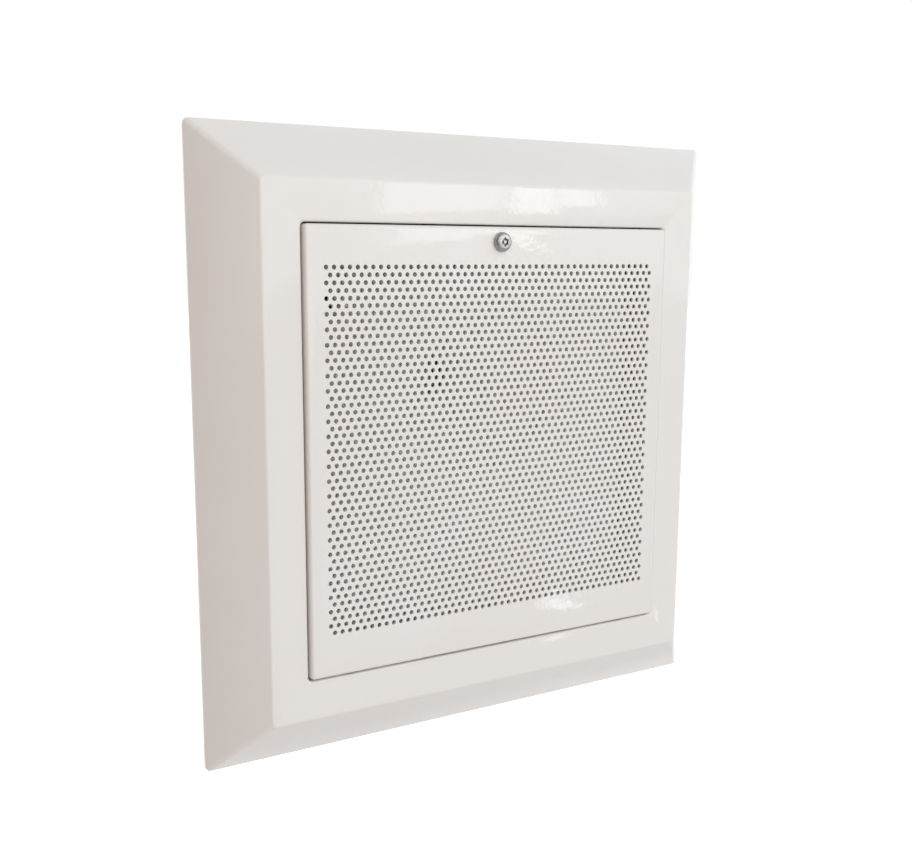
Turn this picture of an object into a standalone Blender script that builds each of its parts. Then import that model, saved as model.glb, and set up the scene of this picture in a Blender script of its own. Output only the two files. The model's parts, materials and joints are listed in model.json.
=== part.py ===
"""Flush-mounted alarm siren: recess box, bevelled frame, hinged perforated door and horn speaker.

Everything is modelled in front-view axes: x to the right, v up and h out of the wall, with
h = 0 on the rear face of the recess box.  The empty "front_axes" turns them into the world's
axes, where the front looks along -Y and +Z is up.
"""

import math

import bmesh
import bpy
from mathutils import Matrix, Vector

# ---- Driving dimensions, in metres ----

CLEARANCE = 0.0003          # air between neighbouring solids
RUNNING = 0.00015           # radial clearance of a pin in its eye

# Recess box
BOX_DEPTH = 0.080           # from the rear face to the wall surface
BOX_SHEET = 0.0012
BOX_MARGIN = 0.0099         # how far the box stands outside the door opening
WALL_HOLE_INSET = 0.030     # wall fixing holes, from the box's outside
WALL_HOLE_RADIUS = 0.003

# Front frame
FRAME_SIZE = 0.300          # outer side of the square frame
FRAME_RISE = 0.024          # from the wall to the flat front face
RIM_TRIM = 0.0005           # extra rim that is ground off flat against the wall
FRAME_RIM = 0.0015          # upright rim against the wall
BEVEL_RUN = 0.025           # width of the sloping border
FACE_BORDER = 0.0189        # flat border between the slope and the door opening
FRAME_SHEET = 0.0015
FRAME_CORNER = 0.0025       # rounding of the corners seen from the front
LIP_RADIUS = 0.0020         # rounding where the face turns in at the opening
LEDGE_WIDTH = 0.0181        # ledge that turns in behind the door

# Door
DOOR_GAP = 0.0007           # beside and above the door
DOOR_FOOT_GAP = 0.0012      # under the door, where its edge swings past the frame's lip
DOOR_PROUD = 0.0028         # how far the door stands out of the frame's face
DOOR_SHEET = 0.0012
DOOR_FOLD = 0.0185          # depth of the folded edges
DOOR_EDGE_RADIUS = 0.0015
DOOR_CORNER = 0.0018        # rounding of the corners seen from the front
FINGER_RELIEF = 0.088       # width of the relieved middle of the lower edge
FINGER_RELIEF_DEPTH = 0.0005
FINGER_RELIEF_BACK = 0.006  # how far back the relief runs from the door's front

# Hinge
HINGE_ACROSS = 0.0835       # from the centre line to each hinge
HINGE_BACK = 0.0038         # axis behind the door's front face
HINGE_UP = 0.0031           # axis above the door's lower edge
PIN_RADIUS = 0.0010
LUG_THICKNESS = 0.002
LUG_REACH = 0.012           # how far the frame's lug runs back from the axis
LUG_STEM = 0.0045
LUG_FRONT = 0.0018          # metal of the lug in front of the axis
LUG_LOW = 0.0014            # metal of the lug below the axis
CHEEK_THICKNESS = 0.0015
CHEEK_GAP = 0.0004
CHEEK_RIM = 0.0005          # metal in front of the pin's eye
WEB_HEIGHT = 0.008

# Gasket
GASKET_WIDTH = 0.0077
GASKET_RELEASE = 0.0007     # gap to the door's folds, so that they swing clear

# Cover screw, M5 button head, and what holds it
SCREW_UP = 0.0073           # axis below the door's upper edge
SCREW_RADIUS = 0.0025
SCREW_LENGTH = 0.018
SCREW_HEAD_RADIUS = 0.00475
SCREW_HEAD_HEIGHT = 0.00275
SCREW_FLAT_RADIUS = 0.0031
RECESS_RADIUS = 0.0022
RECESS_DEPTH = 0.0018
RECESS_PIN_RADIUS = 0.0008
SCREW_TRAVEL = 0.0076       # how far the captive screw backs out
RETAINER_THICKNESS = 0.001
RETAINER_RADIUS = 0.0046
GROOVE_DEPTH = 0.0005
PILLAR_RADIUS = 0.0046
PILLAR_BORE_GAP = 0.0007

# Inner cover
COVER_SHEET = 0.001
COVER_RISE = 0.005
COVER_SCREW_INSET = 0.004
COVER_LAP = 0.002           # how far the cover laps over the horn's mouth

# Small fasteners
SMALL_SHANK = 0.0014
SMALL_HEAD = 0.0027
SMALL_HEAD_HEIGHT = 0.0018
HOLE_GAP = 0.0003

# Horn speaker
HORN_UP = 0.028             # axis above the middle of the box
HORN_THROAT = 0.009
HORN_MOUTH = 0.048
HORN_WALL = 0.0022
HORN_FLANGE = 0.022
FLANGE_THICKNESS = 0.003
DRIVER_RADIUS = 0.027
DRIVER_STANDOFF = 0.003     # air behind the driver's cap
CAP_WALL = 0.0015
CAP_AIR = 0.003
BACK_PLATE_THICKNESS = 0.005
MAGNET_THICKNESS = 0.011
MAGNET_BORE = 0.0135
TOP_PLATE_THICKNESS = 0.005
POLE_RADIUS = 0.008
COIL_THICKNESS = 0.0006
COIL_GAP = 0.0003
DOME_RADIUS = 0.0165
DOME_SHEET = 0.0004
DOME_TRAVEL = 0.0003
DOME_RISE = 0.0022
ADAPTER_SKIRT = 0.0042
ADAPTER_PLATE = 0.003
SPEAKER_BRACKET_HALF = 0.048
SPEAKER_BRACKET_WIDTH = 0.032
BRACKET_SHEET = 0.002
FOOT_LENGTH = 0.012
HORN_SCREW_CIRCLE = 0.0165

# Battery, 12 V sealed lead-acid
BATTERY_WIDTH = 0.178
BATTERY_HEIGHT = 0.060
BATTERY_THICKNESS = 0.034
BATTERY_FLOOR_GAP = 0.004
BATTERY_BACK_GAP = 0.002
TERMINAL_ACROSS = 0.078
TERMINAL_WIDTH = 0.0048
TERMINAL_HEIGHT = 0.0065
TERMINAL_SHEET = 0.0008
STRAP_SHEET = 0.0012
STRAP_WIDTH = 0.016

# Circuit board
BOARD_WIDTH = 0.046
BOARD_HEIGHT = 0.125
BOARD_SHEET = 0.0016
BOARD_STANDOFF = 0.018
BOARD_WALL_GAP = 0.006
BOARD_TOP_GAP = 0.012
POST_RADIUS = 0.0028
POST_TIP_RADIUS = 0.0014
POST_INSET = 0.004

# Tamper switches
TAMPER_ACROSS = -0.084
TAMPER_UP = 0.070
SWITCH_WIDTH = 0.020
SWITCH_THICKNESS = 0.0065
SWITCH_HEIGHT = 0.016
SWITCH_TOP = 0.070
PLUNGER_RADIUS = 0.0016
PLUNGER_BORE_DEPTH = 0.010
PLUNGER_HOLE_GAP = 0.0019   # around the plunger where it passes the inner cover
TAMPER_BRACKET_SHEET = 0.0015
WALL_TAMPER_UP = 0.008
WALL_TAMPER_BODY = 0.016
WALL_TAMPER_RISE = 0.014

# Cable entry
GROMMET_ACROSS = -0.060
GROMMET_OUT = 0.030
GROMMET_BORE = 0.008
GROMMET_GROOVE = 0.0115
GROMMET_FLANGE = 0.015
GROMMET_LIP = 0.0015
GROMMET_LIP_IN = 0.004

# Leads
BATTERY_LEAD_RADIUS = 0.0011
THIN_LEAD_RADIUS = 0.0009

ROUND = 24                  # sides of a small round part
TURNED = 32                 # sides of a large turned part

# ---- Places worked out from the sizes above ----

FACE_SIZE = FRAME_SIZE - 2 * BEVEL_RUN
OPENING = FACE_SIZE - 2 * FACE_BORDER
OPENING_HALF = OPENING / 2
DOOR_HALF = OPENING_HALF - DOOR_GAP
BOX_HALF = OPENING_HALF + BOX_MARGIN
BOX_INNER = BOX_HALF - BOX_SHEET
LEDGE_HALF = OPENING_HALF - LEDGE_WIDTH

WALL_H = BOX_DEPTH
FACE_H = WALL_H + FRAME_RISE
DOOR_H = FACE_H + DOOR_PROUD
DOOR_BACK_H = DOOR_H - DOOR_SHEET
DOOR_FOLD_H = DOOR_H - DOOR_FOLD
LEDGE_H = WALL_H + CLEARANCE + FRAME_SHEET
HINGE_H = DOOR_H - HINGE_BACK
DOOR_FOOT_V = -OPENING_HALF + DOOR_FOOT_GAP
HINGE_V = DOOR_FOOT_V + HINGE_UP
SCREW_V = DOOR_HALF - SCREW_UP
FLOOR_H = BOX_SHEET + CLEARANCE

COVER_HALF = OPENING_HALF - GASKET_WIDTH - 0.0029
COVER_H = LEDGE_H + CLEARANCE + COVER_RISE
COVER_BACK_H = COVER_H - COVER_SHEET
COVER_SCREW_AT = COVER_HALF - COVER_SCREW_INSET

BLACK_PLASTIC = (0.03, 0.03, 0.032)


def clear_scene():
    for thing in list(bpy.data.objects):
        bpy.data.objects.remove(thing, do_unlink=True)


def new_collection(name):
    collection = bpy.data.collections.new(name)
    bpy.context.scene.collection.children.link(collection)
    return collection


def finish(name, colour, roughness, metallic=0.0):
    """A Principled material."""
    material = bpy.data.materials.new(name)
    material.use_nodes = True
    shader = material.node_tree.nodes["Principled BSDF"]
    shader.inputs["Base Color"].default_value = (*colour, 1.0)
    shader.inputs["Roughness"].default_value = roughness
    shader.inputs["Metallic"].default_value = metallic
    return material


# ---- Shapes: each function returns a new mesh ----


def to_mesh(bm, name="shape"):
    mesh = bpy.data.meshes.new(name)
    bm.to_mesh(mesh)
    bm.free()
    return mesh


def box(size, centre=(0, 0, 0)):
    """A box of the given size about a centre."""
    bm = bmesh.new()
    place = Matrix.Translation(centre) @ Matrix.Diagonal((*size, 1))
    bmesh.ops.create_cube(bm, size=1, matrix=place)
    return to_mesh(bm)


def span(low, high):
    """A box from its low corner to its high corner."""
    size = [b - a for a, b in zip(low, high)]
    centre = [(a + b) / 2 for a, b in zip(low, high)]
    return box(size, centre)


def joined(meshes):
    """One mesh of several that stay clear of each other."""
    bm = bmesh.new()
    for mesh in meshes:
        bm.from_mesh(mesh)
    return to_mesh(bm)


AXIS_TURN = {
    "x": Matrix.Rotation(math.pi / 2, 4, "Y"),
    "v": Matrix.Rotation(-math.pi / 2, 4, "X"),
    "h": Matrix.Identity(4),
}


def rod(radius, length, centre=(0, 0, 0), axis="h", sides=ROUND, top_radius=None):
    """A cylinder, or a cone when top_radius is given, about a centre."""
    bm = bmesh.new()
    end = radius if top_radius is None else top_radius
    place = Matrix.Translation(centre) @ AXIS_TURN[axis]
    bmesh.ops.create_cone(bm, cap_ends=True, segments=sides, radius1=radius, radius2=end,
                          depth=length, matrix=place)
    return to_mesh(bm)


def stepped_sheet(stations, keep_last=True):
    """An open square surface that passes through (half width, h) stations in turn."""
    half, height = stations[0]
    bm = bmesh.new()
    bmesh.ops.create_grid(bm, x_segments=1, y_segments=1, size=half,
                          matrix=Matrix.Translation((0, 0, height)))
    face = bm.faces[:][0]
    for next_half, next_height in stations[1:]:
        face = bmesh.ops.extrude_discrete_faces(bm, faces=[face])["faces"][0]
        scale = next_half / half
        bmesh.ops.scale(bm, vec=(scale, scale, 1), verts=face.verts)
        bmesh.ops.translate(bm, vec=(0, 0, next_height - height), verts=face.verts)
        half, height = next_half, next_height
    if not keep_last:
        bmesh.ops.delete(bm, geom=[face], context="FACES_ONLY")
    return bm


def corner_edges(bm, low, high):
    """Edges along the diagonals, between two heights, where the surface turns a corner."""
    found = []
    for edge in bm.edges:
        ends = [vert.co for vert in edge.verts]
        on_diagonal = all(abs(abs(co.x) - abs(co.y)) < 1e-6 for co in ends)
        same_corner = ends[0].x * ends[1].x > 0 and ends[0].y * ends[1].y > 0
        in_reach = all(low - 1e-6 <= co.z <= high + 1e-6 for co in ends)
        if on_diagonal and same_corner and in_reach and edge.calc_face_angle(0) > 0.1:
            found.append(edge)
    return found


def ring_edges(bm, half, height):
    """The four edges of the square of a given half width at a given height."""
    found = []
    for edge in bm.edges:
        middle = (edge.verts[0].co + edge.verts[1].co) / 2
        reach = max(abs(middle.x), abs(middle.y))
        level = all(abs(vert.co.z - height) < 1e-6 for vert in edge.verts)
        if level and abs(reach - half) < 1e-6:
            found.append(edge)
    return found


def round_over(bm, edges, radius, segments):
    bmesh.ops.bevel(bm, geom=edges, offset=radius, segments=segments, profile=0.5,
                    affect="EDGES", clamp_overlap=True)


def frame_prism(outer, inner, low, high, corner):
    """A flat square ring with rounded outer corners."""
    bm = stepped_sheet([(inner, low), (outer, low), (outer, high), (inner, high)], keep_last=False)
    first = ring_edges(bm, inner, low)
    last = ring_edges(bm, inner, high)
    bmesh.ops.bridge_loops(bm, edges=first + last)
    bmesh.ops.recalc_face_normals(bm, faces=bm.faces[:])
    upright = [edge for edge in corner_edges(bm, low, high)
               if abs(edge.verts[0].co.z - edge.verts[1].co.z) > 1e-6
               and abs(edge.verts[0].co.x) > (inner + outer) / 2]
    round_over(bm, upright, corner, 3)
    return to_mesh(bm)


# ---- Objects ----


class Workshop:
    """Makes the named sub-parts and the cutters that shape them."""

    def __init__(self):
        self.parts = new_collection("alarm_siren")
        self.cutters = new_collection("cutters")
        self.axes = bpy.data.objects.new("front_axes", None)
        self.axes.rotation_euler = (math.pi / 2, 0, 0)
        self.parts.objects.link(self.axes)

    def part(self, name, mesh, material, at=(0, 0, 0), parent=None):
        """A sub-part whose mesh is placed at a point given in front-view axes."""
        mesh.name = name
        mesh.materials.append(material)
        piece = bpy.data.objects.new(name, mesh)
        self.parts.objects.link(piece)
        piece.parent = parent or self.axes
        piece.location = Vector(at) - (Vector(parent.location) if parent else Vector())
        return piece

    def boolean(self, piece, mesh, operation):
        cutter = bpy.data.objects.new(piece.name + "_tool", mesh)
        self.cutters.objects.link(cutter)
        cutter.parent = self.axes
        cutter.hide_render = True
        cutter.display_type = "WIRE"
        modifier = piece.modifiers.new(operation.lower(), "BOOLEAN")
        modifier.operation = operation
        modifier.solver = "EXACT"
        modifier.object = cutter

    def add(self, piece, *meshes):
        for mesh in meshes:
            self.boolean(piece, mesh, "UNION")

    def cut(self, piece, *meshes):
        """Cut shapes that stay clear of each other."""
        self.boolean(piece, joined(meshes), "DIFFERENCE")

    def thicken(self, piece, thickness):
        """Give an open outer surface its wall, inwards."""
        modifier = piece.modifiers.new("wall", "SOLIDIFY")
        modifier.thickness = thickness
        modifier.offset = -1
        modifier.use_even_offset = True

    def turned(self, name, profile, material, at=(0, 0, 0), closed=True, steps=TURNED, parent=None):
        """A turned piece: the (radius, h) profile runs down its outer side, top to bottom."""
        bm = bmesh.new()
        points = [bm.verts.new((radius, 0, height)) for radius, height in profile]
        for first, second in zip(points, points[1:]):
            bm.edges.new((first, second))
        if closed:
            bm.edges.new((points[-1], points[0]))
        piece = self.part(name, to_mesh(bm), material, at, parent)
        modifier = piece.modifiers.new("turn", "SCREW")
        modifier.steps = steps
        modifier.render_steps = steps
        modifier.use_merge_vertices = True
        modifier.merge_threshold = 0.00001
        return piece

    def lead(self, name, points, radius, material):
        """An insulated lead along a smooth curve through the given points."""
        curve = bpy.data.curves.new(name, "CURVE")
        curve.dimensions = "3D"
        curve.bevel_depth = radius
        curve.bevel_resolution = 2
        curve.use_fill_caps = True
        route = smooth_route([Vector(point) for point in points])
        spline = curve.splines.new("POLY")
        spline.points.add(len(route) - 1)
        for spot, co in zip(spline.points, route):
            spot.co = (*co, 1)
        curve.materials.append(material)
        piece = bpy.data.objects.new(name, curve)
        self.parts.objects.link(piece)
        piece.parent = self.axes
        return piece


def smooth_route(points, steps=5):
    """Catmull-Rom points through the given ones."""
    ends = [2 * points[0] - points[1]] + points + [2 * points[-1] - points[-2]]
    route = []
    for before, start, end, after in zip(ends, ends[1:], ends[2:], ends[3:]):
        for step in range(steps):
            t = step / steps
            route.append(0.5 * (2 * start + (end - before) * t
                                + (2 * before - 5 * start + 4 * end - after) * t ** 2
                                + (3 * start - before - 3 * end + after) * t ** 3))
    route.append(points[-1])
    return route


def pan_screw_profile(length, shank=SMALL_SHANK, head=SMALL_HEAD, height=SMALL_HEAD_HEIGHT):
    """A pan head on a plain shank, from the head's top down; h = 0 is under the head."""
    return [(0, height), (0.7 * head, height), (head, 0.4 * height), (head, 0), (shank, 0),
            (shank, -length), (0, -length)]


# ---- The sub-parts ----


def make_box(shop, steel):
    """Recess box: open in front, with a flange that the frame is screwed to."""
    top = WALL_H
    bm = stepped_sheet([(LEDGE_HALF, top), (BOX_HALF, top), (BOX_HALF, 0)])
    round_over(bm, corner_edges(bm, 0, top), 0.003, 2)
    bmesh.ops.recalc_face_normals(bm, faces=bm.faces[:])
    piece = shop.part("wall_box", to_mesh(bm), steel)
    shop.thicken(piece, BOX_SHEET)
    hole_at = BOX_HALF - WALL_HOLE_INSET
    holes = [rod(WALL_HOLE_RADIUS, 0.01, (side * hole_at, rise * hole_at, 0), sides=12)
             for side in (-1, 1) for rise in (-1, 1)]
    holes.append(rod(GROMMET_GROOVE + CLEARANCE, 0.01, (GROMMET_ACROSS, BOX_HALF, GROMMET_OUT), "v"))
    holes.append(rod(PLUNGER_RADIUS + HOLE_GAP, 0.01, (TAMPER_ACROSS, WALL_TAMPER_UP, 0), sides=12))
    holes += screw_holes(frame_screw_places() + cover_screw_places(), WALL_H)
    shop.cut(piece, *holes)


def screw_holes(places, h, length=0.01):
    """Clearance holes for the small screws, about a height."""
    return [rod(SMALL_SHANK + HOLE_GAP, length, (x, v, h), sides=16) for x, v in places]


def frame_screw_places():
    """Two screws on each side ledge, under the inner cover."""
    across = COVER_SCREW_AT
    up = 0.55 * COVER_SCREW_AT
    return [(-across, up), (across, up), (across, -up), (-across, -up)]


def cover_screw_places():
    at = COVER_SCREW_AT
    return [(-at, at), (at, at), (at, -at), (-at, -at)]


def make_frame(shop, paint):
    """Front frame: rim, slope, flat border, turned-in lip and ledge, with two hinge lugs."""
    half = FRAME_SIZE / 2
    low = WALL_H - RIM_TRIM
    stations = [
        (half, low),
        (half, WALL_H + FRAME_RIM),
        (half - BEVEL_RUN, FACE_H),
        (OPENING_HALF, FACE_H),
        (OPENING_HALF, LEDGE_H),
        (LEDGE_HALF, LEDGE_H),
    ]
    bm = stepped_sheet(stations, keep_last=False)
    round_over(bm, corner_edges(bm, low, FACE_H), FRAME_CORNER, 3)
    round_over(bm, ring_edges(bm, OPENING_HALF, FACE_H), LIP_RADIUS, 3)
    piece = shop.part("front_frame", to_mesh(bm), paint)
    shop.thicken(piece, FRAME_SHEET)
    shop.cut(piece, span((-FRAME_SIZE, -FRAME_SIZE, low - RIM_TRIM), (FRAME_SIZE, FRAME_SIZE, WALL_H)))
    floor = -OPENING_HALF
    for side in (-1, 1):
        x = side * HINGE_ACROSS
        half_lug = LUG_THICKNESS / 2
        back = HINGE_H - LUG_REACH
        eye_end = (x + half_lug, HINGE_V + 0.0026, HINGE_H + LUG_FRONT)
        stem_end = (x + half_lug, HINGE_V, back + LUG_STEM)
        shop.add(piece,
                 span((x - half_lug, HINGE_V - LUG_LOW, back), eye_end),
                 span((x - half_lug, floor - FRAME_SHEET / 2, back), stem_end))
    eyes = [rod(PIN_RADIUS + RUNNING, 0.01, (side * HINGE_ACROSS, HINGE_V, HINGE_H), "x")
            for side in (-1, 1)]
    shop.cut(piece, *eyes, *screw_holes(frame_screw_places() + cover_screw_places(), LEDGE_H))


def make_gasket(shop, rubber):
    """Foam seal on the ledge, notched around the lock pillar."""
    outer = OPENING_HALF - 2 * CLEARANCE
    inner = outer - GASKET_WIDTH
    mesh = frame_prism(outer, inner, LEDGE_H + CLEARANCE, DOOR_FOLD_H - GASKET_RELEASE, FRAME_CORNER)
    piece = shop.part("door_gasket", mesh, rubber)
    clear = PILLAR_RADIUS + 0.001
    shop.cut(piece, span((-clear, inner - 0.01, LEDGE_H - 0.001), (clear, SCREW_V + clear, FACE_H)))
    return piece


def make_door(shop, paint, steel, hinge):
    """Door pan with folded edges, its two hinge brackets and their pins."""
    bm = stepped_sheet([(DOOR_HALF, DOOR_FOLD_H), (DOOR_HALF, DOOR_H)])
    round_over(bm, corner_edges(bm, 0, DOOR_H), DOOR_CORNER, 3)
    top = [edge for edge in bm.edges
           if all(abs(vert.co.z - DOOR_H) < 1e-6 for vert in edge.verts) and not edge.is_boundary]
    round_over(bm, top, DOOR_EDGE_RADIUS, 4)
    lower = [vert for vert in bm.verts if vert.co.y < 0]
    bmesh.ops.translate(bm, vec=(0, DOOR_FOOT_V + DOOR_HALF, 0), verts=lower)
    bmesh.ops.translate(bm, vec=-Vector(hinge.location), verts=bm.verts)
    door = shop.part("grille_door", to_mesh(bm), paint, hinge.location, hinge)
    shop.thicken(door, DOOR_SHEET)
    shop.cut(door, rod(SCREW_RADIUS + HOLE_GAP, 0.01, (0, SCREW_V, DOOR_H)))
    shop.cut(door, span((-FINGER_RELIEF / 2, DOOR_FOOT_V - 0.01, DOOR_H - FINGER_RELIEF_BACK),
                        (FINGER_RELIEF / 2, DOOR_FOOT_V + FINGER_RELIEF_DEPTH, DOOR_H + 0.01)))
    for side, word in ((-1, "left"), (1, "right")):
        x = side * HINGE_ACROSS
        slot = LUG_THICKNESS / 2 + CHEEK_GAP
        shop.cut(door, span((x - slot, DOOR_FOOT_V - 0.01, 0), (x + slot, HINGE_V - 0.0010, DOOR_BACK_H)))
        make_hinge_bracket(shop, steel, hinge, x, word)
        make_hinge_pin(shop, steel, hinge, x, side, word)
    return door


def make_hinge_bracket(shop, steel, hinge, x, word):
    front = DOOR_BACK_H - CLEARANCE
    back = HINGE_H - 0.003
    inner = LUG_THICKNESS / 2 + CHEEK_GAP
    outer = inner + CHEEK_THICKNESS
    low = DOOR_FOOT_V + DOOR_SHEET + CLEARANCE
    web_low = HINGE_V + 0.0055
    web_high = web_low + WEB_HEIGHT
    mesh = span((x - outer, web_low, front - CHEEK_THICKNESS), (x + outer, web_high, front))
    mesh.transform(Matrix.Translation(-Vector(hinge.location)))
    piece = shop.part("hinge_bracket_" + word, mesh, steel, hinge.location, hinge)
    cheek_front = HINGE_H + PIN_RADIUS + RUNNING + CHEEK_RIM
    for side in (-1, 1):
        near, far = sorted((x + side * inner, x + side * outer))
        shop.add(piece, span((near, low, back), (far, web_high, cheek_front)))
    shop.cut(piece, rod(PIN_RADIUS + RUNNING, 0.02, (x, HINGE_V, HINGE_H), "x"))


def make_hinge_pin(shop, steel, hinge, x, side, word):
    reach = LUG_THICKNESS / 2 + CHEEK_GAP + CHEEK_THICKNESS
    head = 0.001
    mesh = rod(PIN_RADIUS, 2 * reach + 2 * head, (x, 0, 0), "x")
    piece = shop.part("hinge_pin_" + word, mesh, steel, (0, HINGE_V, HINGE_H), hinge)
    cap_x = x + side * (reach + CLEARANCE + head / 2)
    shop.add(piece, rod(PIN_RADIUS * 1.6, head, (cap_x, HINGE_V, HINGE_H), "x"))


def make_lock(shop, steel, hinge):
    """Captive cover screw on the door, its retainer, and the threaded pillar on the ledge."""
    top = SCREW_HEAD_HEIGHT
    groove_top = -DOOR_SHEET - SCREW_TRAVEL - CLEARANCE
    groove_low = groove_top - RETAINER_THICKNESS - 2 * CLEARANCE
    groove = SCREW_RADIUS - GROOVE_DEPTH
    dome = [(SCREW_FLAT_RADIUS + (SCREW_HEAD_RADIUS - SCREW_FLAT_RADIUS) * math.sin(turn),
             top * math.cos(turn)) for turn in (0.4, 0.8, 1.2)]
    profile = [(0, top), (RECESS_PIN_RADIUS, top), (RECESS_PIN_RADIUS, top - RECESS_DEPTH),
               (RECESS_RADIUS, top - RECESS_DEPTH), (RECESS_RADIUS, top), (SCREW_FLAT_RADIUS, top)]
    profile += dome
    profile += [(SCREW_HEAD_RADIUS, 0), (SCREW_RADIUS, 0), (SCREW_RADIUS, groove_top),
                (groove, groove_top), (groove, groove_low), (SCREW_RADIUS, groove_low),
                (SCREW_RADIUS, -SCREW_LENGTH + 0.0008), (SCREW_RADIUS - 0.0008, -SCREW_LENGTH),
                (0, -SCREW_LENGTH)]
    seat = (0, SCREW_V, DOOR_H + CLEARANCE / 2)
    shop.turned("cover_screw", profile, steel, seat, closed=False, steps=ROUND, parent=hinge)
    washer_top = groove_top - CLEARANCE
    washer = [(RETAINER_RADIUS, washer_top), (RETAINER_RADIUS, washer_top - RETAINER_THICKNESS),
              (groove + CLEARANCE, washer_top - RETAINER_THICKNESS), (groove + CLEARANCE, washer_top)]
    shop.turned("screw_retainer", washer, steel, seat, steps=ROUND, parent=hinge)
    low = LEDGE_H + CLEARANCE
    high = DOOR_H + washer_top - RETAINER_THICKNESS - 2 * CLEARANCE
    length = high - low
    pillar = shop.part("lock_pillar", rod(PILLAR_RADIUS, length, sides=6), steel,
                       (0, SCREW_V, low + length / 2))
    bore = SCREW_RADIUS + PILLAR_BORE_GAP
    shop.cut(pillar, rod(bore, length - 0.002, (0, SCREW_V, high - (length - 0.002) / 2 + 0.001)))


def make_inner_cover(shop, sheet, steel):
    """Pressed cover behind the door, with a window over the horn."""
    bm = stepped_sheet([(COVER_HALF, LEDGE_H + CLEARANCE), (COVER_HALF, COVER_H)])
    round_over(bm, corner_edges(bm, 0, COVER_H), 0.002, 2)
    piece = shop.part("inner_cover", to_mesh(bm), sheet)
    shop.thicken(piece, COVER_SHEET)
    clear = PILLAR_RADIUS + 0.001
    window = rod(HORN_MOUTH - COVER_LAP, 0.02, (0, HORN_UP, COVER_H), sides=TURNED)
    notch = span((-clear, SCREW_V - clear - 0.001, 0), (clear, OPENING_HALF, DOOR_H))
    peep = rod(PLUNGER_RADIUS + PLUNGER_HOLE_GAP, 0.02, (TAMPER_ACROSS, TAMPER_UP, COVER_H), sides=16)
    shop.cut(piece, window, notch, peep, *screw_holes(cover_screw_places(), COVER_H, 0.02))
    for number, (x, v) in enumerate(cover_screw_places(), 1):
        shop.turned(f"inner_cover_screw_{number}", pan_screw_profile(COVER_RISE + 0.004), steel,
                    (x, v, COVER_H + CLEARANCE), closed=False, steps=12)
    for number, (x, v) in enumerate(frame_screw_places(), 1):
        shop.turned(f"frame_screw_{number}", pan_screw_profile(0.006), steel,
                    (x, v, LEDGE_H + CLEARANCE), closed=False, steps=12)


def driver_levels():
    """Heights of the driver's stack, from the back to the horn's flange."""
    levels = {}
    levels["cap_low"] = BOX_SHEET + DRIVER_STANDOFF
    levels["back_low"] = levels["cap_low"] + CAP_WALL + CAP_AIR
    levels["back_high"] = levels["back_low"] + BACK_PLATE_THICKNESS
    levels["magnet_low"] = levels["back_high"] + CLEARANCE
    levels["magnet_high"] = levels["magnet_low"] + MAGNET_THICKNESS
    levels["top_low"] = levels["magnet_high"] + CLEARANCE
    levels["top_high"] = levels["top_low"] + TOP_PLATE_THICKNESS
    levels["skirt_low"] = levels["top_high"] + CLEARANCE
    levels["plate_low"] = levels["skirt_low"] + ADAPTER_SKIRT
    levels["plate_high"] = levels["plate_low"] + ADAPTER_PLATE
    levels["bracket_low"] = levels["plate_high"] + CLEARANCE
    levels["bracket_high"] = levels["bracket_low"] + BRACKET_SHEET
    levels["flange_low"] = levels["bracket_high"] + CLEARANCE
    levels["flange_high"] = levels["flange_low"] + FLANGE_THICKNESS
    levels["mouth"] = COVER_BACK_H - 2 * CLEARANCE
    return levels


def make_horn(shop, white_plastic, at):
    """Exponential horn with a flange at its throat and a rolled mouth."""
    h = driver_levels()
    length = h["mouth"] - h["flange_low"]
    growth = math.log(HORN_MOUTH / HORN_THROAT) / length
    stations = 10
    inner = []
    for step in range(stations + 1):
        along = length * step / stations
        inner.append((HORN_THROAT * math.exp(growth * along), h["flange_low"] + along))
    outer = [(radius + HORN_WALL, height) for radius, height in reversed(inner)
             if height > h["flange_high"] + 0.001]
    profile = outer + [(HORN_THROAT + 2.2 * HORN_WALL, h["flange_high"]), (HORN_FLANGE, h["flange_high"]),
                       (HORN_FLANGE, h["flange_low"])] + inner
    return shop.turned("horn_flare", profile, white_plastic, at)


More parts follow.
